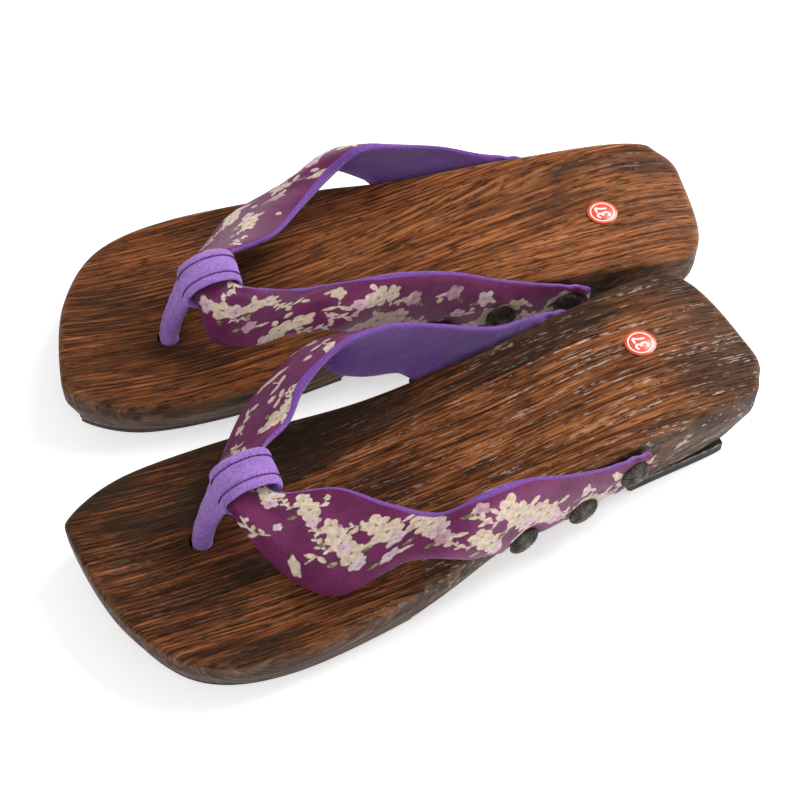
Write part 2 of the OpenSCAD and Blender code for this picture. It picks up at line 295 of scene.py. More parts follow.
def times(tree, a, b, clamp=False):
    return calc(tree, "MULTIPLY", a, b, clamp)


def plus(tree, a, b, clamp=False):
    return calc(tree, "ADD", a, b, clamp)


def minus(tree, a, b):
    return calc(tree, "SUBTRACT", a, b)


def spread(tree, value, fromLow, fromHigh, toLow=0.0, toHigh=1.0, soft=False):
    node = tree.nodes.new("ShaderNodeMapRange")
    node.interpolation_type = "SMOOTHSTEP" if soft else "LINEAR"
    for socket, item in zip(node.inputs, (value, fromLow, fromHigh, toLow, toHigh)):
        put(tree, socket, item)
    return node.outputs[0]


def blendColor(tree, factor, first, second):
    node = tree.nodes.new("ShaderNodeMix")
    node.data_type = "RGBA"
    put(tree, node.inputs[0], factor)
    put(tree, node.inputs[6], first)
    put(tree, node.inputs[7], second)
    return node.outputs[2]


def scaled(tree, vector, factors, shift=(0, 0, 0)):
    node = tree.nodes.new("ShaderNodeMapping")
    put(tree, node.inputs["Vector"], vector)
    node.inputs["Scale"].default_value = factors
    node.inputs["Location"].default_value = shift
    return node.outputs[0]


def noise(tree, vector, size, detail=3.0, rough=0.5, dims="3D", w=None):
    node = tree.nodes.new("ShaderNodeTexNoise")
    node.noise_dimensions = dims
    if dims == "1D":
        put(tree, node.inputs["W"], w)
    else:
        put(tree, node.inputs["Vector"], vector)
    node.inputs["Scale"].default_value = size
    node.inputs["Detail"].default_value = detail
    node.inputs["Roughness"].default_value = rough
    return node.outputs[0]


def cloud(tree, vector, factors, detail, rough, shift=(0, 0, 0)):
    # noise stretched by its own factor along each axis
    return noise(tree, scaled(tree, vector, factors, shift), 1.0, detail, rough)


def ramp(tree, value, stops):
    node = tree.nodes.new("ShaderNodeValToRGB")
    put(tree, node.inputs[0], value)
    for i, (where, colour) in enumerate(stops):
        stop = node.color_ramp.elements[i] if i < 2 else node.color_ramp.elements.new(where)
        stop.position = where
        stop.color = (*colour, 1)
    return node.outputs[0]


def attribute(tree, name, vector=False):
    node = tree.nodes.new("ShaderNodeAttribute")
    node.attribute_name = name
    return node.outputs["Vector" if vector else "Fac"]


def bump(tree, height, strength, distance):
    node = tree.nodes.new("ShaderNodeBump")
    node.inputs["Strength"].default_value = strength
    node.inputs["Distance"].default_value = distance
    put(tree, node.inputs["Height"], height)
    return node.outputs[0]


def dress(tree, shader, colour, rough, height, strength, distance, settings=None):
    tree.links.new(colour, shader.inputs["Base Color"])
    tree.links.new(rough, shader.inputs["Roughness"])
    tree.links.new(bump(tree, height, strength, distance), shader.inputs["Normal"])
    for label, value in (settings or {}).items():
        shader.inputs[label].default_value = value


def newGroup(name, inputs, outputs):
    group = bpy.data.node_groups.new(name, "ShaderNodeTree")
    for label, kind, value in inputs:
        socket = group.interface.new_socket(name=label, in_out="INPUT", socket_type=kind)
        if value is not None:
            socket.default_value = value
    for label, kind in outputs:
        group.interface.new_socket(name=label, in_out="OUTPUT", socket_type=kind)
    return group, group.nodes.new("NodeGroupInput"), group.nodes.new("NodeGroupOutput")


def useGroup(tree, group, **values):
    node = tree.nodes.new("ShaderNodeGroup")
    node.node_tree = group
    for label, value in values.items():
        put(tree, node.inputs[label], value)
    return node


# Brushed, burnt grain: rings seen where a board cuts them, fibres, pores and light streaks
def makeGrainGroup():
    group, given, out = newGroup(
        "brushedGrain",
        [("Place", "NodeSocketVector", None), ("Pith", "NodeSocketFloat", 60.0),
         ("Depth", "NodeSocketFloat", -25.0),
         ("Tilt", "NodeSocketFloat", 0.05), ("Spacing", "NodeSocketFloat", 1.8),
         ("Warp", "NodeSocketFloat", 2.0)],
        [("Rings", "NodeSocketFloat"), ("Fibre", "NodeSocketFloat"), ("Pores", "NodeSocketFloat"),
         ("Streaks", "NodeSocketFloat"), ("Patches", "NodeSocketFloat")])
    place = given.outputs["Place"]
    parts = group.nodes.new("ShaderNodeSeparateXYZ")
    put(group, parts.inputs[0], place)
    slow = cloud(group, place, (0.012, 0.009, 0.012), 1.0, 0.5)
    quick = cloud(group, place, (0.05, 0.025, 0.05), 2.0, 0.5, (7, 3, 1))
    sway = times(group, minus(group, slow, 0.5), times(group, given.outputs["Warp"], 5.0))
    sway = plus(group, sway, times(group, minus(group, quick, 0.5),
                                         given.outputs["Warp"]))
    across = plus(group, minus(group, parts.outputs[0], given.outputs["Pith"]), sway)
    lift = times(group, parts.outputs[1], given.outputs["Tilt"])
    below = plus(group, minus(group, parts.outputs[2], given.outputs["Depth"]), lift)
    reach = calc(group, "SQRT", plus(group, times(group, across, across),
                                     times(group, below, below)))
    turns = calc(group, "DIVIDE", reach, given.outputs["Spacing"])
    saw = calc(group, "FRACT", turns)
    uneven = noise(group, None, 1.0, 2.0, 0.6, dims="1D", w=times(group, turns, 0.9))
    late = spread(group, saw, 0.35, 1.0, 0.0, 1.0, soft=True)
    late = times(group, late, spread(group, saw, 1.0, 0.93, 0.0, 1.0))
    rings = times(group, late, spread(group, uneven, 0.3, 0.7, 0.25, 1.25), clamp=True)
    bent = group.nodes.new("ShaderNodeCombineXYZ")
    for socket, value in zip(bent.inputs, (reach, parts.outputs[1], parts.outputs[2])):
        put(group, socket, value)
    fibre = cloud(group, bent.outputs[0], (0.85, 0.034, 0.15), 4.0, 0.66, (2, 9, 4))
    poreField = cloud(group, bent.outputs[0], (1.5, 0.15, 0.4), 2.0, 0.5, (31, 5, 8))
    pores = spread(group, poreField, 0.56, 0.66, 0.0, 1.0, soft=True)
    dash = cloud(group, bent.outputs[0], (1.35, 0.035, 0.3), 2.0, 0.6, (11, 17, 6))
    broken = cloud(group, bent.outputs[0], (0.9, 0.3, 0.3), 3.0, 0.6, (3, 1, 9))
    streaks = times(group, spread(group, dash, 0.56, 0.63, 0.0, 1.0, soft=True),
                   spread(group, broken, 0.48, 0.58, 0.0, 1.0, soft=True))
    patches = cloud(group, place, (0.05, 0.022, 0.05), 3.0, 0.55, (5, 13, 2))
    for label, value in (("Rings", rings), ("Fibre", fibre), ("Pores", pores), ("Streaks", streaks),
                         ("Patches", patches)):
        put(group, out.inputs[label], value)
    return group


# Woven cloth seen close: crossing threads plus a little unevenness
def makeWeaveGroup():
    group, given, out = newGroup(
        "threadWeave",
        [("Place", "NodeSocketVector", None), ("Count", "NodeSocketFloat", 3.0),
         ("Slant", "NodeSocketFloat", 0.0)],
        [("Height", "NodeSocketFloat"), ("Tone", "NodeSocketFloat")])
    parts = group.nodes.new("ShaderNodeSeparateXYZ")
    put(group, parts.inputs[0], given.outputs["Place"])
    turned = plus(group, parts.outputs[1], times(group, parts.outputs[0], given.outputs["Slant"]))
    step = times(group, given.outputs["Count"], 2 * math.pi)
    warpLine = calc(group, "SINE", times(group, parts.outputs[0], step))
    weftLine = calc(group, "SINE", times(group, turned, step))
    loose = cloud(group, given.outputs["Place"], (1.4, 1.4, 1.4), 3.0, 0.6)
    height = plus(group, times(group, warpLine, weftLine), times(group, loose, 1.5))
    tone = cloud(group, given.outputs["Place"], (0.12, 0.12, 0.12), 3.0, 0.6, (4, 4, 4))
    put(group, out.inputs["Height"], height)
    put(group, out.inputs["Tone"], tone)
    return group


grainGroup = makeGrainGroup()
weaveGroup = makeWeaveGroup()

woodFinish = {
    "left_plank_outer": {"contrast": 0.85, "pith": 90.0, "depth": 22.0, "tilt": 0.0, "spacing": 1.3,
                         "warp": 1.0,
                         "shift": (3, 20, 0), "char": 0.4, "bright": 0.84, "streakHighlight": 1.0, "tip": 0.75},
    "left_plank_middle": {"contrast": 0.85, "pith": -55.0, "depth": 26.0, "tilt": 0.0, "spacing": 1.4,
                          "warp": 1.3,
                          "shift": (40, 0, 9), "char": 0.38, "bright": 0.84, "streakHighlight": 0.85, "tip": 0.75},
    "left_plank_inner": {"contrast": 0.85, "pith": -95.0, "depth": 18.0, "tilt": 0.0, "spacing": 1.5,
                         "warp": 1.3,
                         "shift": (90, 60, 4), "char": 0.52, "bright": 0.44, "streakHighlight": 0.5, "tip": 0.6},
    "right_plank_outer": {"contrast": 0.62, "pith": 85.0, "depth": 20.0, "tilt": 0.0, "spacing": 1.6,
                          "warp": 1.3,
                          "shift": (5, 70, 3), "char": 0.3, "bright": 1.1, "streakHighlight": 0.2, "tip": 0.1},
    "right_plank_middle": {"contrast": 0.62, "pith": 30.0, "depth": 14.0, "tilt": 0.02, "spacing": 1.9,
                           "warp": 2.0,
                           "shift": (0, 30, 0), "char": 0.36, "bright": 1.0, "streakHighlight": 0.2, "tip": 0.1},
    "right_plank_inner": {"contrast": 0.62, "pith": -85.0, "depth": 20.0, "tilt": 0.0, "spacing": 1.6,
                          "warp": 1.4,
                          "shift": (70, 10, 6), "char": 0.3, "bright": 1.1, "streakHighlight": 0.2, "tip": 0.1},
}


def makeWood(name):
    look = woodFinish[name]
    material, tree, shader = newMaterial(name + "_wood")
    place = scaled(tree, attribute(tree, "grainPlace", True), (1, 1, 1), look["shift"])
    grain = useGroup(tree, grainGroup, Place=place, Pith=look["pith"] + look["shift"][0],
                     Depth=look["depth"] + look["shift"][2], Tilt=look["tilt"], Spacing=look["spacing"],
                     Warp=look["warp"])
    rim = attribute(tree, "rim")
    wall = spread(tree, attribute(tree, "drop"), 1.2, 3.6, 0.0, 1.0, soft=True)
    b = look["bright"]
    tone = plus(tree, times(tree, grain.outputs["Fibre"], look["contrast"]),
                times(tree, grain.outputs["Patches"], 0.25))
    tone = plus(tree, tone, (0.85 - look["contrast"]) / 2)
    tone = minus(tree, tone, times(tree, grain.outputs["Rings"], 0.09))
    # tone raised towards the heel and lowered towards the toe: painted light falling off away from the key
    # light on the heel side
    heelward = spread(tree, attribute(tree, "heelward"), -110.0, 100.0, -0.045, 0.04)
    tone = plus(tree, tone, heelward)
    colour = ramp(tree, tone, [(0.38, (0.022 * b, 0.0065 * b, 0.0025 * b)),
                               (0.68, (0.42 * b, 0.15 * b, 0.05 * b)),
                               (0.47, (0.08 * b, 0.023 * b, 0.007 * b)),
                               (0.56, (0.19 * b, 0.058 * b, 0.018 * b))])
    tip = spread(tree, attribute(tree, "heelward"), 78.0, 112.0, 0.0, look["tip"], soft=True)
    colour = blendColor(tree, tip, colour, (0.045, 0.022, 0.014, 1))
    charred = spread(tree, grain.outputs["Patches"], look["char"] - 0.12, look["char"] + 0.12, 0.75, 0.0,
                     soft=True)
    colour = blendColor(tree, charred, colour, (0.024, 0.013, 0.009, 1))
    colour = blendColor(tree, times(tree, grain.outputs["Pores"], 0.75), colour, (0.012, 0.006, 0.004, 1))
    # the walls are greyer and finer than the footbed, and drawn darker than it, partly as painted shade on
    # the sides
    wallToneAndShade = ramp(tree, grain.outputs["Fibre"],
                    [(0.3, (0.016, 0.009, 0.006)), (0.72, (0.14, 0.066, 0.038)),
                                                   (0.5, (0.042, 0.02, 0.012))])
    colour = blendColor(tree, times(tree, wall, 0.82), colour, wallToneAndShade)
    # rubbed line just inside the top edge, kept off the wall below it, which is drawn darker partly as
    # painted shade
    ragged = cloud(tree, place, (0.5, 0.12, 0.5), 3.0, 0.6)
    rubbed = times(tree, spread(tree, rim, 3.4, 0.9, 0.0, 1.0, soft=True),
                  spread(tree, ragged, 0.38, 0.62, 0.0, 0.65, soft=True))
    rubbed = times(tree, rubbed, minus(tree, 1.0, wall))
    colour = blendColor(tree, rubbed, colour, (0.21 * b, 0.105 * b, 0.05 * b, 1))
    # grain streaks painted pale, strongest towards the heel: a painted highlight where the key light
    # glances off the raised fibres
    heelward = spread(tree, attribute(tree, "heelward"), -60.0, 90.0, 0.12, 1.0)
    pale = times(tree, grain.outputs["Streaks"], times(tree, heelward, look["streakHighlight"]), clamp=True)
    colour = blendColor(tree, times(tree, pale, 0.82), colour, (0.56, 0.47, 0.42, 1))
    rough = spread(tree, grain.outputs["Fibre"], 0.3, 0.7, 0.62, 0.42)
    height = plus(tree, times(tree, grain.outputs["Fibre"], 0.9), times(tree, grain.outputs["Rings"], 0.35))
    height = minus(tree, height, times(tree, grain.outputs["Pores"], 0.35))
    dress(tree, shader, colour, rough, height, 0.9, 0.0007,
          {"Specular IOR Level": 0.2, "Specular Tint": (1.0, 0.72, 0.52, 1)})
    return material


def makeRubber():
    material, tree, shader = newMaterial("outsole_rubber")
    place = attribute(tree, "grainPlace", True)
    dust = cloud(tree, place, (0.16, 0.16, 0.16), 4.0, 0.65)
    fine = cloud(tree, place, (2.4, 2.4, 2.4), 3.0, 0.6)
    colour = ramp(tree, dust, [(0.35, (0.0085, 0.0085, 0.0095)), (0.75, (0.036, 0.034, 0.034))])
    dress(tree, shader, colour, spread(tree, fine, 0.3, 0.7, 0.48, 0.7), fine, 0.35, 0.0003,
          {"Specular IOR Level": 0.35})
    return material


def makeGlue():
    material, tree, shader = newMaterial("glue_bead")
    place = attribute(tree, "grainPlace", True)
    mix = cloud(tree, place, (0.7, 0.7, 0.7), 3.0, 0.6)
    tree.links.new(ramp(tree, mix, [(0.38, (0.05, 0.042, 0.036)), (0.66, (0.36, 0.32, 0.27))]),
                   shader.inputs["Base Color"])
    tree.links.new(spread(tree, mix, 0.3, 0.7, 0.3, 0.55), shader.inputs["Roughness"])
    return material


printColours = {
    "plumDark": (0.072, 0.0045, 0.036),
    "plum": (0.165, 0.012, 0.085),
    "plumLight": (0.27, 0.032, 0.155),
    "cream": (0.86, 0.75, 0.57),
    "creamDeep": (0.62, 0.50, 0.34),
    "pinkDeep": (0.50, 0.26, 0.32),
    "pink": (0.66, 0.44, 0.47),
    "pale": (0.80, 0.68, 0.66),
    "green": (0.115, 0.125, 0.026),
    "greenPale": (0.42, 0.44, 0.20),
    "mark": (0.20, 0.085, 0.035),
    "feltDark": (0.12, 0.045, 0.25),
    "feltLight": (0.26, 0.11, 0.47),
}


def makePrint():
    look = {name: (*value, 1) for name, value in printColours.items()}
    material, tree, shader = newMaterial("printed_satin")
    place = attribute(tree, "clothPlace", True)
    weave = useGroup(tree, weaveGroup, Place=place, Count=2.6, Slant=0.35)
    edge = times(tree, minus(tree, cloud(tree, place, (1.3, 1.3, 1.3), 2.0, 0.5),
                                       0.5), 0.75)
    mottle = cloud(tree, place, (0.55, 0.55, 0.55), 3.0, 0.6, (9, 2, 0))
    grit = cloud(tree, place, (2.0, 2.0, 2.0), 2.0, 0.6, (5, 7, 0))

    def inside(name, crisp=0.10):
        return spread(tree, plus(tree, attribute(tree, name), edge), crisp, -crisp, 0.0, 1.0)

    ground = blendColor(tree, spread(tree, weave.outputs["Tone"], 0.35, 0.7), look["plumDark"],
                        look["plum"])
    ground = blendColor(tree, spread(tree, grit, 0.45, 0.7, 0.0, 0.55), ground, look["plumLight"])
    pinks = blendColor(tree, spread(tree, mottle, 0.4, 0.6), look["pinkDeep"], look["pink"])
    pales = blendColor(tree, spread(tree, mottle, 0.4, 0.6), look["pink"], look["pale"])
    creams = blendColor(tree, spread(tree, mottle, 0.38, 0.62), look["creamDeep"], look["cream"])
    greens = blendColor(tree, spread(tree, mottle, 0.45, 0.6), look["green"], look["greenPale"])
    colour = blendColor(tree, inside("pinkPrint"), ground, pinks)
    colour = blendColor(tree, inside("creamPrint"), colour, creams)
    colour = blendColor(tree, inside("palePrint"), colour, pales)
    colour = blendColor(tree, inside("greenPrint"), colour, greens)
    colour = blendColor(tree, times(tree, inside("markPrint"), 0.75), colour, look["mark"])
    rolled = spread(tree, attribute(tree, "feltRoll"), 0.12, -0.12, 0.0, 1.0)
    nap = blendColor(tree, spread(tree, grit, 0.35, 0.65), look["feltDark"], look["feltLight"])
    colour = blendColor(tree, rolled, colour, nap)
    rough = spread(tree, weave.outputs["Height"], -1.0, 2.5, 0.42, 0.26)
    rough = plus(tree, rough, times(tree, rolled, 0.5), clamp=True)
    dress(tree, shader, colour, rough, weave.outputs["Height"], 0.55, 0.0003,
          {"Specular IOR Level": 0.75, "Specular Tint": (1.0, 0.42, 0.80, 1), "Sheen Weight": 0.05,
           "Sheen Roughness": 0.4, "Sheen Tint": (0.9, 0.6, 0.85, 1)})
    return material


def makeFelt(name, dark, light, ribs):
    material, tree, shader = newMaterial(name)
    place = attribute(tree, "clothPlace", True)
    weave = useGroup(tree, weaveGroup, Place=place, Count=ribs, Slant=0.8)
    nap = cloud(tree, place, (0.9, 0.9, 0.9), 5.0, 0.7, (1, 6, 3))
    mixed = plus(tree, times(tree, nap, 0.7), times(tree, weave.outputs["Tone"], 0.3))
    mixed = plus(tree, mixed, times(tree, weave.outputs["Height"], 0.03))
    colour = ramp(tree, mixed, [(0.36, dark), (0.68, light)])
    height = plus(tree, times(tree, weave.outputs["Height"], 0.4), times(tree, nap, 1.4))
    dress(tree, shader, colour, spread(tree, nap, 0.3, 0.7, 0.98, 0.86), height, 0.6, 0.0004,
          {"Specular IOR Level": 0.15, "Sheen Weight": 0.6, "Sheen Roughness": 0.5,
           "Sheen Tint": (0.72, 0.6, 1.0, 1)})
    return material


def makeThread(name, dark, light, size):
    material, tree, shader = newMaterial(name)
    coords = tree.nodes.new("ShaderNodeTexCoord").outputs["Object"]
    wisps = noise(tree, coords, size, 4.0, 0.65)
    dress(tree, shader, ramp(tree, wisps, [(0.35, dark), (0.68, light)]),
          spread(tree, wisps, 0.3, 0.7, 0.9, 0.7),
          wisps, 0.5, 0.0002, {"Specular IOR Level": 0.3})
    return material


def makeMetal(name, dark, light, low, high, metallic):
    material, tree, shader = newMaterial(name)
    coords = tree.nodes.new("ShaderNodeTexCoord").outputs["Object"]
    wear = noise(tree, coords, 420.0, 4.0, 0.6)
    fine = noise(tree, coords, 2400.0, 2.0, 0.6)
    dress(tree, shader, ramp(tree, wear, [(0.38, dark), (0.66, light)]),
          spread(tree, fine, 0.3, 0.7, low, high),
          fine, 0.25, 0.0001, {"Metallic": metallic})
    return material


def makeVinyl(name, dark, light):
    material, tree, shader = newMaterial(name)
    coords = tree.nodes.new("ShaderNodeTexCoord").outputs["Object"]
    fleck = noise(tree, coords, 600.0, 3.0, 0.6)
    dress(tree, shader, ramp(tree, fleck, [(0.3, dark), (0.7, light)]),
          spread(tree, fleck, 0.3, 0.7, 0.24, 0.34),
          fleck, 0.1, 0.0001, {"Coat Weight": 0.12, "Coat Roughness": 0.12})
    return material


rubber = makeRubber()
glue = makeGlue()
printCloth = makePrint()
violetFelt = makeFelt("violet_felt", (0.115, 0.042, 0.24), (0.25, 0.10, 0.46), 1.5)
loopFelt = makeFelt("loop_felt", (0.20, 0.085, 0.36), (0.43, 0.22, 0.66), 1.2)
foam = makeThread("strap_foam", (0.52, 0.45, 0.32), (0.78, 0.70, 0.55), 900.0)
rope = makeThread("knotted_cord", (0.30, 0.25, 0.19), (0.62, 0.55, 0.44), 1500.0)
stitchThread = makeThread("dark_stitch", (0.035, 0.016, 0.075), (0.10, 0.05, 0.19), 1500.0)
bronze = makeMetal("aged_bronze", (0.028, 0.024, 0.019), (0.11, 0.096, 0.078), 0.38, 0.6, 0.75)
steel = makeMetal("washer_steel", (0.30, 0.30, 0.31), (0.56, 0.56, 0.57), 0.25, 0.45, 1.0)
labelRed = makeVinyl("label_red", (0.66, 0.060, 0.026), (0.80, 0.10, 0.045))
labelWhite = makeVinyl("label_white", (0.80, 0.74, 0.70), (0.92, 0.88, 0.84))
print("materials made")


# Wooden soles

soleShape = {
    # outline as (distance along, distance towards the big toe), closed
    "outline": [(-119.5, 14.5), (-116.5, 25.5), (-94.5, 36.5), (-55.5, 38.5), (-8.5, 33.3), (41.5, 33.6),
                (67, 36.5), (109, 37.4), (119.7, 0), (116, -14), (106.5, -20.6), (65, -25.6), (18.5, -34),
                (-14.5, -43.4), (-63.5, -49.5), (-95, -41.6), (-112.5, -17.7)],
    # footbed and arch heights along the sole
    "bed": [(-140, 28.8), (-120, 24), (-100, 20.9), (-80, 19.6), (-60, 19.8), (-40, 21.3), (-20, 23.7),
            (0, 26.7),
            (20, 30.1), (40, 33.3), (60, 35.8), (80, 37), (100, 36.7), (120, 34.2), (140, 30)],
    "arch": [(-22, 3.5), (-16, 6.48), (-8, 9.84), (2, 11.76), (12, 12), (25, 11.64), (38, 10.32), (50, 8.4),
             (60, 6), (66, 5)],
    "foreRubber": 3.5,
    "heelRubber": 5.0,
    "topEdge": 2.4,
    "lowEdge": 0.8,
    "gap": 0.09,
    "stations": 190,
    "columns": 34,
}
bedLine = smoothLine(soleShape["bed"], 8)
archLine = smoothLine(soleShape["arch"], 6)
outlineLine = smoothLine(soleShape["outline"], 40, closed=True)
outlineXY = np.stack([-outlineLine[:, 1], outlineLine[:, 0]], 1)


def bedZ(y):
    return np.interp(y, bedLine[:, 0], bedLine[:, 1])


def underZ(y):
    z = np.interp(y, archLine[:, 0], archLine[:, 1])
    return np.where(y < -22, soleShape["foreRubber"], np.where(y > 66, soleShape["heelRubber"], z))


def wallInset(y, z):
    lean = 4 + 6 * np.maximum(y / 120, 0) ** 4 + 2 * np.maximum(-y / 120, 0) ** 4
    knee = 0.62 * bedZ(y)
    low = lean + (0.4 - lean) * (z + 1) / (knee + 1)
    return np.where(z < knee, low, 0.4 * (49 - z) / (49 - knee))


def soleChains(stations):
    # the outline as two runs of points from the toe tip to the heel tip, at the same distances along
    toe, heel = int(outlineXY[:, 1].argmin()), int(outlineXY[:, 1].argmax())
    count = len(outlineXY)
    one = np.array([outlineXY[(toe + i) % count] for i in range((heel - toe) % count + 1)])
    two = np.array([outlineXY[(toe - i) % count] for i in range((toe - heel) % count + 1)])
    low, high = outlineXY[toe, 1], outlineXY[heel, 1]
    ys = (low + high) / 2 - (high - low) / 2 * np.cos(np.pi * np.arange(stations + 1) / stations)
    ys[0], ys[-1] = low, high
    inner = np.stack([np.interp(ys, one[:, 1], one[:, 0]), ys], 1)
    outer = np.stack([np.interp(ys, two[:, 1], two[:, 0]), ys], 1)
    return inner, outer


def soleLoop(stations):
    inner, outer = soleChains(stations)
    loop = np.concatenate([inner, outer[-2:0:-1]])
    tangent = unit(np.roll(loop, -1, axis=0) - np.roll(loop, 1, axis=0))
    normal = np.stack([tangent[:, 1], -tangent[:, 0]], 1)
    if np.sum((loop - loop.mean(0)) * normal) < 0:
        normal = -normal
    return loop, normal


def slabMesh(rings, stations, columns, underMove=None):
    # rings: functions of y giving (inset, z), from the underside's inner ring to that of the top
    loop, normal = soleLoop(stations)
    count = len(loop)
    points = []
    for ring in rings:
        inset, z = ring(loop[:, 1])
        flat = loop - normal * np.broadcast_to(inset, count)[:, None]
        _, z = ring(flat[:, 1])
        points.append(np.column_stack([flat, np.broadcast_to(z, count)]))
    faces = []
    for k in range(len(rings) - 1):
        for i in range(count):
            j = (i + 1) % count
            faces.append((k * count + i, k * count + j, (k + 1) * count + j, (k + 1) * count + i))
    total = len(rings) * count
    extra = []

    def cap(base, heightOf, flip):
        nonlocal total
        ring = points[base]
        t = np.arange(1, columns)[None, :, None] / columns
        a, b = ring[1:stations][:, None, :], ring[count - np.arange(1, stations)][:, None, :]
        spots = (a * (1 - t) + b * t).reshape(-1, 3)
        spots[:, 2] = heightOf(spots)
        extra.append(spots)
        rungs = []
        for j in range(1, stations):
            inside = [total + (j - 1) * (columns - 1) + k for k in range(columns - 1)]
            rungs.append([base * count + j] + inside + [base * count + count - j])
        total += len(spots)
        ends = []
        for row, following in zip(rungs, rungs[1:]):
            for k in range(columns):
                ends.append((row[k], row[k + 1], following[k + 1], following[k]))
        tip, tail = base * count, base * count + stations
        for k in range(columns):
            ends.append((tip, rungs[0][k + 1], rungs[0][k]))
            ends.append((tail, rungs[-1][k], rungs[-1][k + 1]))
        faces.extend([tuple(reversed(face)) for face in ends] if flip else ends)

    cap(len(rings) - 1, lambda p: rings[-1](p[:, 1])[1], False)
    cap(0, lambda p: rings[0](p[:, 1])[1] + (underMove(p) if underMove else 0), True)
    allPoints = np.concatenate(points + extra)
    bm = bmesh.new()
    verts = [bm.verts.new(p) for p in allPoints]
    for face in faces:
        try:
            bm.faces.new([verts[i] for i in face])
        except ValueError:
            pass
    bmesh.ops.recalc_face_normals(bm, faces=bm.faces)
    return bm


def woodRings():
    topR, lowR = soleShape["topEdge"], soleShape["lowEdge"]

    def lowRing(turn):
        def ring(y):
            z = underZ(y) + lowR * (1 - math.sin(turn))
            return wallInset(y, z) + lowR * (1 - math.cos(turn)), z
        return ring

    def wallRing(share):
        def ring(y):
            low, high = underZ(y) + lowR, bedZ(y) - topR
            z = low + (high - low) * share
            return wallInset(y, z), z
        return ring

    def topRing(turn):
        def ring(y):
            z = bedZ(y) - topR * (1 - math.sin(turn))
            return wallInset(y, np.minimum(z, bedZ(y) - topR)) + topR * (1 - math.cos(turn)), z
        return ring

    rings = [lowRing(math.pi / 2 * (1 - k / 3)) for k in range(3)]
    rings += [wallRing(k / 9) for k in range(10)]
    rings += [topRing(math.pi / 2 * k / 7) for k in range(1, 8)]
    return rings


def cutAway(bm, point, normal):
    # removes what lies on the far side of a plane and closes the cut
    cut = bmesh.ops.bisect_plane(bm, geom=bm.verts[:] + bm.edges[:] + bm.faces[:], dist=1e-5,
                                 plane_co=point,
                                 plane_no=normal, clear_outer=True)
    edges = [item for item in cut["geom_cut"] if isinstance(item, bmesh.types.BMEdge)]
    bmesh.ops.holes_fill(bm, edges=edges, sides=0)


def meshArrays(mesh):
    points = np.zeros(len(mesh.vertices) * 3)
    mesh.vertices.foreach_get("co", points)
    return points.reshape(-1, 3), [tuple(face.vertices) for face in mesh.polygons]


def outlineDistance(points):
    # distance in plan from each point to the sole's outline
    starts = outlineXY[::2]
    ends = np.roll(starts, -1, axis=0)
    step = ends - starts
    size = (step ** 2).sum(1)
    best = np.full(len(points), 1e9)
    for a, d, s in zip(starts, step, size):
        gap = points[:, :2] - a
        t = np.clip((gap @ d) / s, 0, 1)
        best = np.minimum(best, np.linalg.norm(gap - t[:, None] * d, axis=1))
    return best


nails = {
    # distance along and height, rear to front
    "outer": [(62, 24.5), (42, 18), (18, 20.5)],
    "inner": [(61, 24), (36, 22.5), (13, 22)],
    "headRadius": 5.6,
    "headHeight": 2.2,
    "seat": 3.0,
    "shank": 0.9,
    "depth": 11.0,
    "flutes": 22,
    "domeSteps": 10,
}


def nailPlaces(which):
    # (middle on the wall's outline, outward direction) of each nail
    spots = []
    inner, outer = soleChains(400)
    chain = inner if which == "inner" else outer
    if (inner[200, 0] < outer[200, 0]) != (which == "inner") and which == "inner":
        chain = outer
    for y, z in nails[which]:
        x = np.interp(y, chain[:, 1], chain[:, 0])
        ahead = np.interp(y + 2, chain[:, 1], chain[:, 0]) - np.interp(y - 2, chain[:, 1], chain[:, 0])
        out = unit(np.array([4.0, -ahead, 0.0]))
        if (out[0] > 0) == (which == "inner"):
            out = -out
        spots.append((np.array([x, y, z], float), out))
    return spots


def alongAxis(points, place, out):
    # points drawn round +Z, turned to stand on the wall with +Z pointing outwards
    sideways = unit(np.cross((0, 0, 1), out))
    basis = np.stack([sideways, np.cross(out, sideways), out], 1)
    return points @ basis.T + place


boreShape = {
    # toe hole and its recess, as (radius, height)
    "toe": [(0, -2), (7.5, -2), (7.5, 10.5), (4.2, 10.5), (4.2, 60), (0, 60)],
    "toeSegments": 56,
    "nailSlack": 0.05,
    "nailSegments": 20,
}


def boreCutter(side):
    # toe hole with its recess, and the six nail holes
    kind = slippers[side]
    points, faces = lathe(boreShape["toe"], boreShape["toeSegments"])
    radius, tip = nails["shank"] + boreShape["nailSlack"], -nails["depth"]
    nailHole = [(0, tip), (radius, tip + 3), (radius, 9), (0, 9)]
    parts = [(points + [-kind["toeHole"], toeHoleY, 0], faces)]
    for which in ("outer", "inner"):
        for place, out in nailPlaces(which):
            shank, sides = lathe(nailHole, boreShape["nailSegments"])
            parts.append((alongAxis(shank, place, out), sides))
    points, faces = joined(parts)
    return placed("cutter", solidMesh("cutter", points, faces))


def bored(mesh, cutter):
    block = placed("block", mesh)
    tool = block.modifiers.new("bore", "BOOLEAN")
    tool.operation = "DIFFERENCE"
    tool.solver = "EXACT"
    tool.object = cutter
    return meshArrays(worked(block))


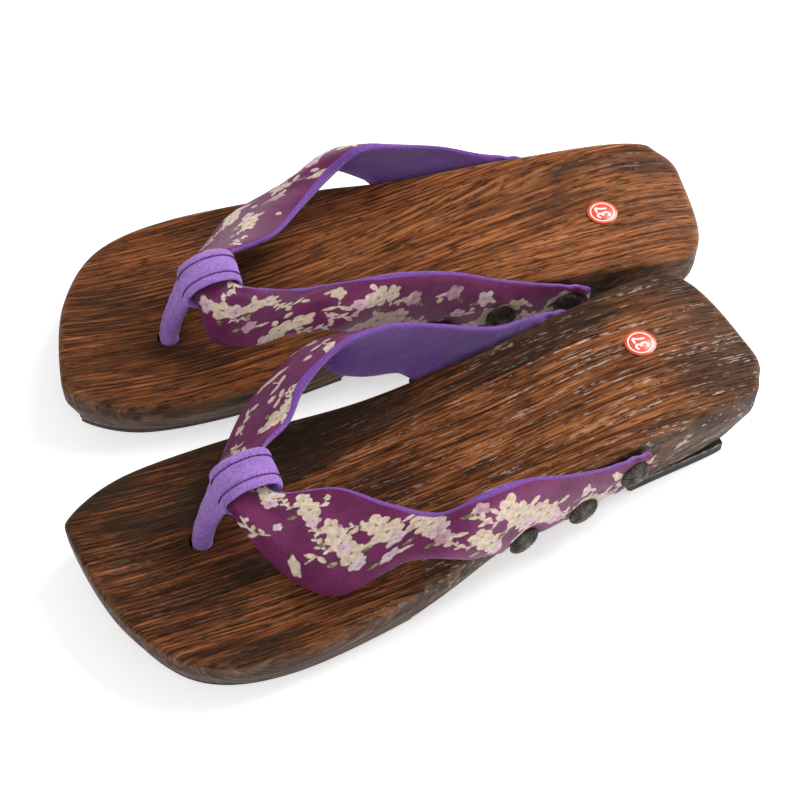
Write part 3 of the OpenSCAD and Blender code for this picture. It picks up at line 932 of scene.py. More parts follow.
def makeSole(side):
    kind = slippers[side]
    whole = slabMesh(woodRings(), soleShape["stations"], soleShape["columns"])
    gap = soleShape["gap"]
    seat = -85.0

    def seamPlane(v, degrees, grow):
        slope = math.tan(math.radians(degrees))
        along = unit(np.array([-slope, 1.0, 0.0]))
        across = np.array([along[1], -along[0], 0.0])
        point = np.array([-v, seat, 0.0]) + across * grow
        return point, across

    cutter = boreCutter(side)
    planks = {
        "plank_outer": [(seamPlane(-20, 0.8, gap), -1)],
        "plank_middle": [(seamPlane(-20, 0.8, -gap), 1), (seamPlane(kind["seam"], 5.8, gap), -1)],
        "plank_inner": [(seamPlane(kind["seam"], 5.8, -gap), 1)],
    }
    for name, cuts in planks.items():
        bm = whole.copy()
        for (point, across), sense in cuts:
            cutAway(bm, point, across * sense)
        mesh = bpy.data.meshes.new("plank")
        bm.to_mesh(mesh)
        bm.free()
        points, faces = bored(mesh, cutter)
        rim = outlineDistance(points)
        drop = bedZ(points[:, 1]) - points[:, 2]
        addPiece(side, name + "_wood", points, faces, makeWood(side + "_" + name), [name],
                 sharp=38,
                 layers={"grainPlace": points, "rim": rim, "drop": drop, "heelward": points[:, 1]})
    bpy.data.objects.remove(cutter)
    whole.free()


def tread(p):
    # shallow wavy grooves across the underside
    wave = np.sin(2 * np.pi * (p[:, 1] + 1.6 * np.sin(p[:, 0] / 5.5)) / 6.5)
    edge = np.clip((outlineDistance(p) - 8) / 2, 0, 1)
    return 0.9 * edge * np.clip((wave - 0.25) / 0.45, 0, 1)


def makeRubbers(side):
    for name, inset, top, cuts in (
            ("outsole_forefoot", 4.3, soleShape["foreRubber"], [((0, -22, 0), (0, 1, 0))]),
            ("outsole_heel", 4.0, soleShape["heelRubber"],
             [((0, 66, 0), (0, -1, 0)), ((0, 105, 0), (0, 1, 0)),
                                                            ((0, 66, 2.2), (0, -1, -1))])):
        rings = [lambda y, k=k: (inset + 0.5 * (1 - math.cos(k)) + 0 * y, 0.5 * (1 - math.sin(k)) + 0 * y)
                 for k in (math.pi / 2, math.pi / 4, 0)]
        rings += [lambda y, h=h: (inset + 0 * y, h + 0 * y) for h in (top * 0.4, top * 0.75, top)]
        rings += [lambda y: (inset + 0.4 + 0 * y, top + 0 * y)]
        bm = slabMesh(rings, 260, 56, underMove=tread)
        for point, normal in cuts:
            cutAway(bm, point, normal)
        mesh = bpy.data.meshes.new("pad")
        bm.to_mesh(mesh)
        bm.free()
        points, faces = meshArrays(mesh)
        addPiece(side, name + "_rubber", points, faces, rubber, [name], sharp=35,
                 layers={"grainPlace": points})
        makeGlueBead(side, name.replace("outsole", "glue"), inset, top, cuts)


def makeGlueBead(side, name, inset, top, cuts):
    # the squeezed-out line of glue between wood and rubber
    loop, normal = soleLoop(220)
    dice = random.Random(slippers[side]["seed"])
    low = cuts[0][0][1] if name == "glue_heel" else -130
    high = 105 if name == "glue_heel" else -22
    lines = []
    run = []
    start = int(np.argmin(loop[:, 1])) if name == "glue_heel" else int(np.argmax(loop[:, 1]))
    for k in range(len(loop) + 1):
        i = (start + k) % len(loop)
        spot = loop[i] - normal[i] * (inset - 0.02)
        if low + 0.6 < spot[1] < high - 0.6:
            run.append((spot[0], spot[1], top - 0.12))
        elif run:
            lines.append(run)
            run = []
    parts = []
    for line in lines:
        if len(line) < 6:
            continue
        sizes = []
        size = 0.3
        for _ in line:
            size = min(0.5, max(0.16, size + dice.uniform(-0.06, 0.06)))
            sizes.append(size)
        parts.append(sweepTube(line, sizes, 8))
    points, faces = joined(parts)
    addPiece(side, name, points, faces, glue, layers={"grainPlace": points})


# Padded strap: printed satin outside, felt inside, foam between

strapShape = {
    # inner edge (along, towards the big toe, height), outer edge, bulge, foam; outer heel end first
    "stations": [
        (69, -27.2, 32, 70, -25.6, 17, 0.8, 0.8),
        (51.5, -30.2, 36, 49.5, -28.6, 13.5, 1.0, 1.2),
        (36, -32, 42.5, 24.5, -34.6, 17.5, 2.2, 1.6),
        (20, -31.5, 48, 4, -42.7, 25.5, 2.5, 2.2),
        (5.5, -32.5, 49.5, -9, -43.5, 35, 2.0, 2.4),
        (-8, -30, 42, -23.5, -38.5, 34, 1.2, 2.4),
        (-21.5, -20, 40.5, -46, -37, 24.8, 1.5, 2.4),
        (-35, -9, 41.5, -60.5, -22, 26.5, 1.5, 2.0),
        (-54.5, -3.5, 42.5, -69.5, -3, 39, 0.4, 1.0),
        (-53.5, 11, 44, -68, 11, 40.5, 0.4, 1.0),
        (-41, 19, 45.5, -66, 21, 29.5, 1.5, 2.0),
        (-33, 26, 51, -55, 32.5, 35, 1.5, 2.4),
        (-20, 32, 56.5, -42.5, 38, 43, 1.2, 2.4),
        (-9.5, 34, 58, -28.5, 42, 45, 1.5, 2.4),
        (2.5, 35, 57, -17.5, 38, 35.5, 1.8, 2.2),
        (18.5, 34, 50.5, 1.5, 37, 27, 2.0, 1.8),
        (38, 34.5, 40, 24.5, 36.5, 18.5, 1.6, 1.4),
        (54, 37.4, 35.5, 48, 36.4, 15, 1.0, 1.0),
        (69, 39.2, 31.5, 68, 37.6, 16.5, 0.8, 0.8),
    ],
    "scallop": 2.4,  # how far the lower edge is drawn up between two nails
    "scallopStart": 84,
    # how far the felt lining rolls over the top edge onto the print
    "rollOver": [(-170, 0.3), (-100, 0.6), (-88, 1.4), (-72, 2.8), (-50, 1.4), (-22, 0.5), (12, 0.5),
                 (26, 1.6),
                 (38, 3.0), (52, 1.4), (100, 0.7), (170, 0.3)],
    "junction": 8.5,  # between these stations the strap passes through the toe loop
    "cloth": 0.8,
    "felt": 1.2,
    "rows": 600,
    "columns": 60,
}


def strapGrid(rows, columns):
    steps = 60
    dense = smoothLine(strapShape["stations"], steps)
    upper = np.stack([-dense[:, 1], dense[:, 0], dense[:, 2]], 1)
    lower = np.stack([-dense[:, 4], dense[:, 3], dense[:, 5]], 1)
    middle = (upper + lower) / 2
    along = np.r_[0, np.cumsum(np.linalg.norm(np.diff(middle, axis=0), axis=1))]
    zero = along[int(strapShape["junction"] * steps)]
    at = np.linspace(0, along[-1], rows)

    def pick(values):
        return np.stack([np.interp(at, along, column) for column in values.T], 1)

    grid = {"upper": pick(upper), "lower": pick(lower)}
    grid["bulge"], grid["foam"] = pick(dense[:, 6:8]).T
    grid["middle"] = (grid["upper"] + grid["lower"]) / 2
    grid["width"] = np.linalg.norm(grid["upper"] - grid["lower"], axis=1)
    grid["across"] = unit(grid["upper"] - grid["lower"])
    grid["out"] = unit(np.cross(grid["across"], unit(np.gradient(grid["middle"], axis=0))))
    grid["along"] = at - zero
    grid["end"] = np.minimum(at, along[-1] - at)
    s = np.linspace(-1, 1, columns)
    grid["s"] = 0.55 * s + 0.45 * np.sin(np.pi / 2 * s)
    return grid


def softLimit(value, limit, soft):
    over = np.clip((value - limit) / soft, -30, 30)
    return value - soft * np.log1p(np.exp(over))


def strapPoints(side, level, rows, columns, closeness, wallGap):
    # level: -1 the felt's face, 1 the print's face; closeness moves a layer towards the middle of the strap
    grid = strapGrid(rows, columns)
    seed = slippers[side]["seed"]
    s = grid["s"][None, :]
    a = grid["along"][:, None]
    endRound = np.sqrt(np.clip(1 - np.clip(1 - grid["end"] / 3.5, 0, 1) ** 2, 0, 1))[:, None]
    half = grid["width"][:, None] / 2 * (0.72 + 0.28 * np.sqrt(np.clip(1 - np.clip(1 - grid["end"] / 5, 0,
                                                                                   1) ** 2,
                                                                     0, 1))[:, None])
    lift = strapShape["scallop"] * fade(np.abs(a), strapShape["scallopStart"],
                                        strapShape["scallopStart"] + 12)
    for which in ("outer", "inner"):
        for place, _ in nailPlaces(which):
            nearest = grid["along"][np.argmin(np.linalg.norm(grid["middle"] - place, axis=1))]
            lift = lift * (1 - np.exp(-((a - nearest) / 8.5) ** 2))
    b = s * half + lift * ((1 - s) / 2) ** 1.5
    profile = np.sqrt(np.clip(1 - np.abs(s) ** 6, 0, 1)) * endRound
    pad = grid["foam"][:, None] * (1 - 0.35 * s * s) / 2
    reach = pad + (strapShape["cloth"] if level > 0 else strapShape["felt"])
    offset = grid["bulge"][:, None] * (1 - s * s) + level * np.maximum(reach - closeness, 0.02) * profile
    # folds running out of the toe loop, slack waves, and gathers at both rear ends
    waves = noiseWaves(seed, 7, 14, 34)
    small = noiseWaves(seed + 1, 9, 5, 10)
    near = np.exp(-np.abs(a) / 20) * fade(np.abs(a), 3, 9)
    inner = 1 - s ** 4
    folds = 0.55 * near * np.sin(5.2 * s + 0.055 * np.abs(a) + seed) * inner
    slack = 0.28 * waves(a, b) * inner + 0.07 * small(a, b) * inner
    gather = np.exp(-grid["end"][:, None] / 9)
    folds = folds + 0.42 * gather * np.sin(9 * s + 0.1 * a + seed)
    offset = offset + folds + slack
    if level > 0 and closeness == 0:
        rolled = np.interp(a, *zip(*strapShape["rollOver"]))
        offset = offset + 0.3 * np.clip((rolled - half + b) / 0.6, 0, 1) * profile
    points = (grid["middle"][:, None, :] + grid["across"][:, None, :] * b[..., None]
              + grid["out"][:, None, :] * offset[..., None])
    flat = points.reshape(-1, 3)
    outNormal = np.repeat(grid["out"], len(grid["s"]), axis=0)
    for which in ("outer", "inner"):
        for place, out in nailPlaces(which):
            gap = flat - place
            height = gap @ out
            around = gap - height[:, None] * out
            distance = np.linalg.norm(around, axis=1)
            near = (distance < 26) & (height > -6) & (height < 20)
            turn = np.arctan2(around @ np.cross(out, (0, 0, 1)), around[:, 2])
            pucker = 0.34 * np.exp(-((distance - 7.5) / 4.5) ** 2) * np.sin(9 * turn + seed + place[1])
            flat[near] += outNormal[near] * pucker[near][:, None]
            room = nails["seat"] - 0.15 + np.clip(distance - nails["headRadius"], 0, 99) * 0.42
            room = room - (0 if level > 0 else 1.2) - (closeness if level > 0 else -0.0)
            height = (flat - place) @ out
            pressed = softLimit(height, room, 0.35)
            weight = fade(distance, 16, 9)
            move = (pressed - height) * weight
            flat[near] += (move[near])[:, None] * out
    flat = clearWall(flat, wallGap)
    grid["b"] = np.broadcast_to(b, (rows, columns))
    return grid, flat


def clearWall(points, gap):
    # pushes points out of the wood, sideways
    y, z = points[:, 1], points[:, 2]
    near = (z < bedZ(y) + 0.5) & (np.abs(y) < 119)
    inner, outer = soleChains(400)
    left = np.interp(y, inner[:, 1], inner[:, 0])
    right = np.interp(y, outer[:, 1], outer[:, 0])
    low, high = np.minimum(left, right), np.maximum(left, right)
    inset = wallInset(y, z)
    toLow = low + inset - gap
    toHigh = high - inset + gap
    x = points[:, 0].copy()
    lowSide = near & (x < 0) & (x > toLow)
    highSide = near & (x > 0) & (x < toHigh)
    x[lowSide] = toLow[lowSide]
    x[highSide] = toHigh[highSide]
    moved = points.copy()
    moved[:, 0] = x
    return moved


def shell(outside, inside, rows, columns):
    # closes two grids of the same size into one thin solid
    count = rows * columns
    faces = [tuple(reversed(face)) for face in gridFaces(rows, columns)]
    faces += gridFaces(rows, columns, start=count)
    for i in range(rows - 1):
        a, b = i * columns, (i + 1) * columns
        faces.append((a, b, b + count, a + count))
        c, d = a + columns - 1, b + columns - 1
        faces.append((c, c + count, d + count, d))
    for j in range(columns - 1):
        faces.append((j, j + count, j + 1 + count, j + 1))
        k = (rows - 1) * columns + j
        faces.append((k, k + 1, k + 1 + count, k + count))
    return np.concatenate([outside, inside]), faces


# Printed pattern: shapes laid out in millimetres, along the strap from the toe loop
# (outer arm negative) and across it from the middle towards the inner edge

def ellipseField(a, b, spot, radii, turn):
    x, y = a - spot[0], b - spot[1]
    c, s = math.cos(turn), math.sin(turn)
    u, v = (x * c + y * s) / radii[0], (-x * s + y * c) / radii[1]
    return (np.sqrt(u * u + v * v) - 1) * min(radii)


def leafField(a, b, spot, length, width, turn):
    # pointed leaf starting at spot
    c, s = math.cos(turn), math.sin(turn)
    x, y = a - spot[0] - c * length / 2, b - spot[1] - s * length / 2
    u, v = np.abs(x * c + y * s), np.abs(-x * s + y * c)
    h, k = length / 2, width / 2
    big = (h * h + k * k) / (2 * k)
    d = big - k
    tip = (u - h) * d > v * h
    return np.where(tip, np.hypot(u - h, v), np.hypot(u, v + d) - big)


def stemField(a, b, points, thick):
    best = np.full_like(a, 99.0)
    for (ax, ay), (bx, by) in zip(points, points[1:]):
        dx, dy = bx - ax, by - ay
        t = np.clip(((a - ax) * dx + (b - ay) * dy) / max(dx * dx + dy * dy, 1e-6), 0, 1)
        best = np.minimum(best, np.hypot(a - ax - t * dx, b - ay - t * dy))
    return best - thick


class Pattern:
    def __init__(self, a, b, seed):
        self.a, self.b = a, b
        self.dice = random.Random(seed)
        self.fields = {name: np.full(a.shape, 9.0) for name in ("cream", "pink", "pale", "green", "mark")}

    def stamp(self, name, spot, reach, make):
        near = (np.abs(self.a - spot[0]) < reach) & (np.abs(self.b - spot[1]) < reach)
        if near.any():
            field = self.fields[name]
            field[near] = np.minimum(field[near], make(self.a[near], self.b[near]))

    def bloom(self, x, y, r, name="cream", petals=5):
        turn = self.dice.uniform(0, 6.28)
        for k in range(petals):
            angle = turn + 2 * math.pi * k / petals + self.dice.uniform(-0.12, 0.12)
            size = r * self.dice.uniform(0.85, 1.15)
            spot = (x + 0.55 * size * math.cos(angle), y + 0.55 * size * math.sin(angle))
            self.stamp(name, spot, r * 1.8,
                       lambda a, b: ellipseField(a, b, spot, (0.5 * size, 0.42 * size), angle))
            if r > 2.6:
                fold = [(x + r * p * math.cos(angle + 0.63),
                         y + r * p * math.sin(angle + 0.63)) for p in (0.3, 0.72)]
                self.stamp("mark", fold[0], r, lambda a, b: stemField(a, b, fold, 0.05))
        if r > 1.5:
            self.stamp("mark", (x, y), r, lambda a,
                       b: ellipseField(a, b, (x, y), (0.16 * r, 0.12 * r), turn))

    def oval(self, x, y, ra, rb, degrees, name="cream"):
        # a flower seen from the side: a lumpy oval with a few folds
        turn = math.radians(degrees)
        c, s = math.cos(turn), math.sin(turn)
        wobble = self.dice.uniform(0, 6.28)

        def lumpy(a, b):
            u, v = (a - x) * c + (b - y) * s, -(a - x) * s + (b - y) * c
            ripple = 0.13 * rb * np.sin(5 * np.arctan2(v / rb, u / ra) + wobble)
            return ellipseField(a, b, (x, y), (ra, rb), turn) + ripple

        self.stamp(name, (x, y), 1.5 * max(ra, rb), lumpy)
        for p in (-0.45, 0.1, 0.5):
            spot = (x + p * ra * c, y + p * ra * s)
            tip = (spot[0] + 0.35 * ra * c - 0.4 * rb * s * self.dice.choice((-1, 1)),
                   spot[1] + 0.35 * ra * s + 0.4 * rb * c * self.dice.choice((-1, 1)))
            self.stamp("mark", spot, ra, lambda a, b: stemField(a, b, [spot, tip], 0.03))

    def leaf(self, x, y, x2, y2, width, name="cream"):
        turn, length = math.atan2(y2 - y, x2 - x), math.hypot(x2 - x, y2 - y)
        self.stamp(name, (x, y), length * 1.3, lambda a, b: leafField(a, b, (x, y), length, width, turn))
        if name == "cream" and width > 2.1 and length > 3:
            core = (x + 0.25 * (x2 - x), y + 0.25 * (y2 - y))
            self.stamp("green", core, length,
                       lambda a, b: leafField(a, b, core, 0.5 * length, 0.28 * width, turn) + 0.12)

    def stem(self, line, name="cream", thick=0.26):
        line = smoothLine(line, 5)
        self.stamp(name, line.mean(0), 30, lambda a, b: stemField(a, b, line, thick))
        return line

    def sprig(self, points, leaf=3.0, name="cream"):
        line = self.stem(points, name)
        steps = np.r_[0, np.cumsum(np.linalg.norm(np.diff(line, axis=0), axis=1))]
        at, flip = leaf * 0.5, 1
        while at < steps[-1] - 0.4:
            x, y = np.interp(at, steps, line[:, 0]), np.interp(at, steps, line[:, 1])
            x2, y2 = np.interp(at + 0.4, steps, line[:, 0]), np.interp(at + 0.4, steps, line[:, 1])
            way = math.atan2(y2 - y, x2 - x) + flip * self.dice.uniform(0.6, 1.0)
            long = leaf * self.dice.uniform(0.8, 1.1)
            self.leaf(x, y, x + long * math.cos(way), y + long * math.sin(way), long * 0.42, name)
            at, flip = at + leaf * 0.55, -flip

    def cluster(self, x, y, size):
        # a head of flowers with side blooms, leaves and a sprig
        self.bloom(x, y, size)
        self.bloom(x + size * 1.1, y + size * 0.6, size * 0.8)
        self.bloom(x - size, y - size * 0.8, size * 0.65, "pale")
        self.leaf(x + size * 0.5, y - size * 0.9, x + size * 1.1, y - size * 1.5, size * 0.4, "green")
        self.leaf(x - size * 0.6, y + size * 0.6, x - size * 1.3, y + size * 1.2, size * 0.4)
        way = self.dice.choice((-1, 1))
        self.sprig([(x + size, y), (x + size * 2.0, y - size * 0.4 * way),
                    (x + size * 3.2, y + size * 0.3 * way)],
                   size * 0.6)


# A plain small floral: flower heads, single flowers, buds and sprigs strewn along the cloth
printPlan = {
    "step": (6.2, 8.6),
    "offset": (1.5, 7.5),
    "shoulder": (38, 18, 6.5),  # where the strap is widest: distance from the loop, spread, extra offset
    "headSize": (3.6, 5.2),
    "flowerSize": (2.2, 3.4),
    "leafSize": (3.4, 5.2),
    "shares": {"head": 0.36, "flower": 0.24, "bud": 0.18, "twig": 0.22},
}


def drawPattern(side, a, b):
    pattern = Pattern(a, b, slippers[side]["seed"])
    dice = random.Random(slippers[side]["seed"] + 5)
    kinds, shares = zip(*printPlan["shares"].items())
    at, flip = -156, 1
    while at < 158:
        middle, spreadOut, extra = printPlan["shoulder"]
        low, high = printPlan["offset"]
        y = flip * dice.uniform(low, high + extra * math.exp(-((abs(at) - middle) / spreadOut) ** 2))
        kind = dice.choices(kinds, shares)[0]
        leaf = dice.uniform(*printPlan["leafSize"])
        way = dice.choice((-1, 1))
        if kind == "head":
            pattern.cluster(at, y, dice.uniform(*printPlan["headSize"]))
        elif kind == "flower":
            pattern.bloom(at, y, dice.uniform(*printPlan["flowerSize"]),
                          dice.choice(("pink", "pale", "cream")))
            pattern.leaf(at + 2 * way, y, at + (2 + leaf) * way, y - 1.8 * flip, 1.5)
            pattern.leaf(at - 1.5 * way, y - 1.5, at - (1 + leaf) * way, y - 3.4, 1.4, "green")
        elif kind == "bud":
            pattern.oval(at, y, leaf, 0.42 * leaf, dice.uniform(25, 60) * way)
            foot = (at - 1.1 * leaf * way, y - 1.6 * leaf * flip)
            pattern.stem([(at - 0.6 * leaf * way, y - 0.6 * leaf * flip), foot])
            pattern.leaf(*foot, foot[0] + leaf * way, foot[1] - 0.4 * leaf, 1.7)
            pattern.leaf(*foot, foot[0] - leaf * way, foot[1] - 0.2 * leaf, 1.7)
        else:
            pattern.sprig([(at - 4, y - way), (at, y + way), (at + 5, y - way)], leaf * 0.8)
        pattern.bloom(at + 4.5, -y * dice.uniform(0.5, 1.2), dice.uniform(0.9, 1.5),
                      dice.choice(("cream", "pale")))
        at, flip = at + dice.uniform(*printPlan["step"]), -flip
    return pattern.fields


def makeStrap(side):
    rows, columns = strapShape["rows"], strapShape["columns"]
    grid, face = strapPoints(side, 1, rows, columns, 0, 1.35)
    _, back = strapPoints(side, 1, rows, columns, 0.5, 0.95)
    a = np.repeat(grid["along"], columns)
    b = grid["b"].ravel()
    fields = drawPattern(side, a, b)
    points, faces = shell(face, back, rows, columns)
    layers = {name + "Print": np.concatenate([field, field]) for name, field in fields.items()}
    place = np.stack([a, b, np.zeros_like(a)], 1)
    roll = grid["b"].max(1, keepdims=True) - grid["b"] - np.interp(grid["along"],
                                                                   *zip(*strapShape["rollOver"]))[:, None]
    layers["feltRoll"] = np.concatenate([roll.ravel(), roll.ravel()])
    layers["clothPlace"] = np.concatenate([place, place])
    cloth = addPiece(side, "strap_print", points, faces, printCloth, ["strap_fabric"],
                     sharp=70,
                     layers=layers)
    rows, columns = 320, 36
    grid, face = strapPoints(side, -1, rows, columns, 0, 0.12)
    _, back = strapPoints(side, -1, rows, columns, 0.7, 0.6)
    points, faces = shell(face, back, rows, columns)
    faces = [tuple(reversed(face)) for face in faces]
    place = np.stack([np.repeat(grid["along"], columns), grid["b"].ravel(), np.zeros(rows * columns)], 1)
    felt = addPiece(side, "strap_lining", points, faces, violetFelt, ["strap_felt"],
                    sharp=70,
                    layers={"clothPlace": np.concatenate([place, place])})
    rows, columns = 160, 20
    _, top = strapPoints(side, 1, rows, columns, 0.62, 0.85)
    _, low = strapPoints(side, -1, rows, columns, 0.85, 0.7)
    points, faces = shell(top, low, rows, columns)
    pad = addPiece(side, "strap_foam", points, faces, foam, ["strap_padding"])


# Toe loop: felt band round the strap, drawn down through the sole

loopShape = {
    "middle": (-4, -61.4, 41.4),
    "outside": (10.6, 6.3),
    "inside": (9.2, 4.9),
    "width": 15.0,
    "tilt": 14,
    "stitchOffset": 3.9,
    "stitches": {"count": 26, "first": -12, "step": 8.2, "turn": 6.2, "radius": 0.2},
    # behind the toe hole, height, half width, half depth, share of the way to the loop
    "post": [(0, 9.8, 3.6, 3.6, 0), (0, 15, 3.6, 3.6, 0), (0.3, 21, 3.6, 3.6, 0),
             (1.6, 25.5, 3.8, 3.6, 0.25),
             (3.8, 30, 4.4, 3.5, 0.55), (6.3, 34.5, 5.6, 3.2, 0.85), (8.8, 39, 6.8, 2.6, 1)],
}


def loopPoint(turn, x, ry, rz):
    tilt = math.radians(loopShape["tilt"])
    y, z = ry * math.cos(turn), rz * math.sin(turn)
    cx, cy, cz = loopShape["middle"]
    return np.array([cx + x, cy + y * math.cos(tilt) - z * math.sin(tilt),
                     cz + y * math.sin(tilt) + z * math.cos(tilt)])


def postLine(side):
    line = smoothLine(loopShape["post"], 6)
    toeV = slippers[side]["toeHole"]
    cx = loopShape["middle"][0]
    centres = np.stack([-toeV + (cx + toeV) * line[:, 4], toeHoleY + line[:, 0], line[:, 1]], 1)
    return line, centres


def makeToeLoop(side):
    seed = slippers[side]["seed"]
    line, centres = postLine(side)
    segments = 40
    points = []
    for row, centre in zip(line, centres):
        tilt = math.atan(0.55 * row[4])
        for k in range(segments):
            t = 2 * math.pi * k / segments
            # the post is the band folded lengthwise, so a crease runs down its front
            crease = 1 - 0.16 * math.exp(-((t - 4.5) / 0.22) ** 2)
            ra, rb = row[2] * crease, row[3] * crease
            points.append(centre + np.array([ra * math.cos(t), rb * math.sin(t) * math.cos(tilt),
                                             -rb * math.sin(t) * math.sin(tilt)]))
    faces = [tuple(reversed(face)) for face in gridFaces(len(line), segments, wrapColumns=True)]
    count = len(points)
    points += [centres[0], centres[-1]]
    end = (len(line) - 1) * segments
    for k in range(segments):
        m = (k + 1) % segments
        faces.append((count, m, k))
        faces.append((count + 1, end + k, end + m))
    post = (np.array(points), faces)
    # the band: a flattened ring with rounded edges
    ringSteps, wallSteps = 96, 28
    points = []
    for i in range(ringSteps):
        turn = 2 * math.pi * i / ringSteps
        for k in range(wallSteps):
            t = 2 * math.pi * k / wallSteps
            x = loopShape["width"] / 2 * math.copysign(abs(math.cos(t)) ** 0.45, math.cos(t))
            lift = math.copysign(abs(math.sin(t)) ** 0.8, math.sin(t))
            ry = (loopShape["outside"][0] + loopShape["inside"][0]) / 2
            rz = (loopShape["outside"][1] + loopShape["inside"][1]) / 2
            thick = (loopShape["outside"][0] - loopShape["inside"][0]) / 2 + 0.15
            points.append(loopPoint(turn, x, ry + lift * thick, rz + lift * thick))
    band = (np.array(points), gridFaces(ringSteps, wallSteps, wrapRows=True, wrapColumns=True))
    blank = placed("loop", solidMesh("loop", *joined([post, band])))
    remesh = blank.modifiers.new("remesh", "REMESH")
    remesh.mode = "VOXEL"
    remesh.voxel_size = 0.42
    smooth = blank.modifiers.new("smooth", "SMOOTH")
    smooth.factor = 0.5
    smooth.iterations = 5
    done = worked(blank)
    points, faces = meshArrays(done)
    normals = np.zeros(len(points) * 3)
    done.vertices.foreach_get("normal", normals)
    normals = normals.reshape(-1, 3)
    # sewn channels round the band and a little unevenness
    x = points[:, 0] - loopShape["middle"][0]
    high = fade(points[:, 2], 33, 37)
    groove = sum(np.exp(-((x - k * loopShape["stitchOffset"]) / 0.55) ** 2) for k in (-1, 1))
    waves = noiseWaves(seed + 3, 6, 4, 9)
    push = -0.42 * groove * high + 0.10 * waves(points[:, 0] + points[:, 2], points[:, 1])
    points = points + normals * push[:, None]
    piece = addPiece(side, "toe_loop", points, faces, loopFelt, ["toe_loop_felt"],
                     layers={"clothPlace": points[:, [1, 0, 2]]})
    # stitches lying in the channels
    stitch = loopShape["stitches"]
    parts = []
    ry, rz = loopShape["outside"][0] - 0.12, loopShape["outside"][1] - 0.12
    for k in (-1, 1):
        for i in range(stitch["count"]):
            start = math.radians(stitch["first"] + i * stitch["step"])
            turns = np.linspace(start, start + math.radians(stitch["turn"]), 5)
            lift = [0.02, 0.26, 0.32, 0.26, 0.02]
            path = [loopPoint(t, k * loopShape["stitchOffset"], ry + h, rz + h) for t,
                    h in zip(turns, lift)]
            parts.append(sweepTube(path, stitch["radius"], 8))
    points, faces = joined(parts)
    addPiece(side, "loop_stitches", points, faces, stitchThread)


cordShape = {
    "core": 1.6,
    "knot": {"radius": 1.0, "steps": 180, "reach": 1.15, "swing": 0.85, "height": 6.6, "rise": 1.35},
    # free end of the knot: sideways and lengthways from the toe hole, height
    "tail": [(1.2, 0.6, 6.4), (2.0, 1.0, 5.4), (2.3, 1.6, 4.4)],
    "tailRadius": 0.85,
    # washer as (radius, height)
    "washer": [(1.95, 9.1), (6.2, 9.1), (6.5, 9.18), (6.6, 9.4), (6.5, 9.62), (6.2, 9.7), (2.15, 9.7),
               (1.95, 9.6)],
    "washerSegments": 64,
}


def makeCord(side):
    centres = postLine(side)[1]
    core = centres[:-14]
    parts = [sweepTube(core, cordShape["core"], 24, lambda t,
                       d: 1 + 0.1 * math.cos(3 * t - d * 1.6) - 0.06)]
    toeV = slippers[side]["toeHole"]
    shape = cordShape["knot"]
    knot = []
    for i in range(shape["steps"] + 1):
        t = 2 * math.pi * i / shape["steps"]
        reach = shape["reach"] + shape["swing"] * math.cos(3 * t)
        knot.append((-toeV + reach * math.cos(2 * t), toeHoleY + reach * math.sin(2 * t),
                     shape["height"] + shape["rise"] * math.sin(3 * t)))
    parts.append(sweepTube(knot, shape["radius"], 14, lambda t, d: 1 + 0.09 * math.cos(3 * t - d * 2.4)))
    tail = [(-toeV + x, toeHoleY + y, z) for x, y, z in cordShape["tail"]]
    parts.append(sweepTube(smoothLine(tail, 6), cordShape["tailRadius"], 12))
    points, faces = joined(parts)
    addPiece(side, "toe_cord_knot", points, faces, rope, ["toe_loop_cord"])
    ring, sides = ringLathe(cordShape["washer"], cordShape["washerSegments"])
    ring[:, :2] += (-toeV, toeHoleY)
    addPiece(side, "washer_ring", ring, sides, steel, ["toe_washer"], sharp=40)


# Nails and label

def nailSolid():
    r, h, seat = nails["headRadius"], nails["headHeight"], nails["seat"]
    shank, tip = nails["shank"], -nails["depth"]
    profile = [(0, tip), (shank * 0.5, tip + 1.5), (shank, tip + 3),
               (shank, seat - 0.2), (shank + 0.2, seat + 0.05), (r - 0.8, seat + 0.05),
               (r - 0.15, seat + 0.02), (r, seat + 0.18), (r - 0.08, seat + 0.42)]
    for k in range(1, nails["domeSteps"]):
        angle = math.pi / 2 * k / nails["domeSteps"]
        profile.append(((r - 0.1) * math.cos(angle), seat + 0.45 + (h - 0.45) * math.sin(angle)))
    profile.append((0, seat + h - 0.02))

    def flute(radius, height, angle):
        if height < seat + 0.15:
            return radius, height
        share = radius / r
        depth = 0.30 * fade(share, 0.18, 0.5)
        wave = math.cos(nails["flutes"] * angle)
        return radius + 0.10 * wave * fade(share, 0.85, 1.0), height - depth * (0.5 - 0.5 * wave)

    return lathe(profile, nails["flutes"] * 8, flute)


def makeNails(side):
    points, faces = nailSolid()
    for which in ("outer", "inner"):
        parts = []
        for i, (place, out) in enumerate(nailPlaces(which)):
            c, s = math.cos(0.7 * i), math.sin(0.7 * i)
            turned = points @ np.array([[c, s, 0], [-s, c, 0], [0, 0, 1]])
            parts.append((alongAxis(turned, place, out), faces))
        allPoints, allFaces = joined(parts)
        addPiece(side, "nails_" + which + "_heads", allPoints, allFaces, bronze,
                 ["nails_" + which],
                 sharp=45)


labelShape = {
    "segments": 80,
    "radius": 5.5,
    "low": 37.12,
    "thick": 0.26,
    "ringOuter": 4.55,
    "ringInner": 4.1,
    "stroke": 0.40,
    "height": 4.2,
    # strokes of each digit in a box one unit high
    "digits": {
        "3": [[(-0.24, 0.36), (-0.08, 0.5), (0.14, 0.49), (0.25, 0.32), (0.16, 0.12), (-0.04, 0.05)],
              [(-0.04, 0.05), (0.18, 0.0), (0.27, -0.2), (0.18, -0.42), (-0.04, -0.5), (-0.26, -0.38)]],
        "7": [[(-0.26, 0.46), (0.0, 0.46), (0.28, 0.46)], [(0.28, 0.46), (0.08, 0.1), (-0.04, -0.5)]],
    },
}


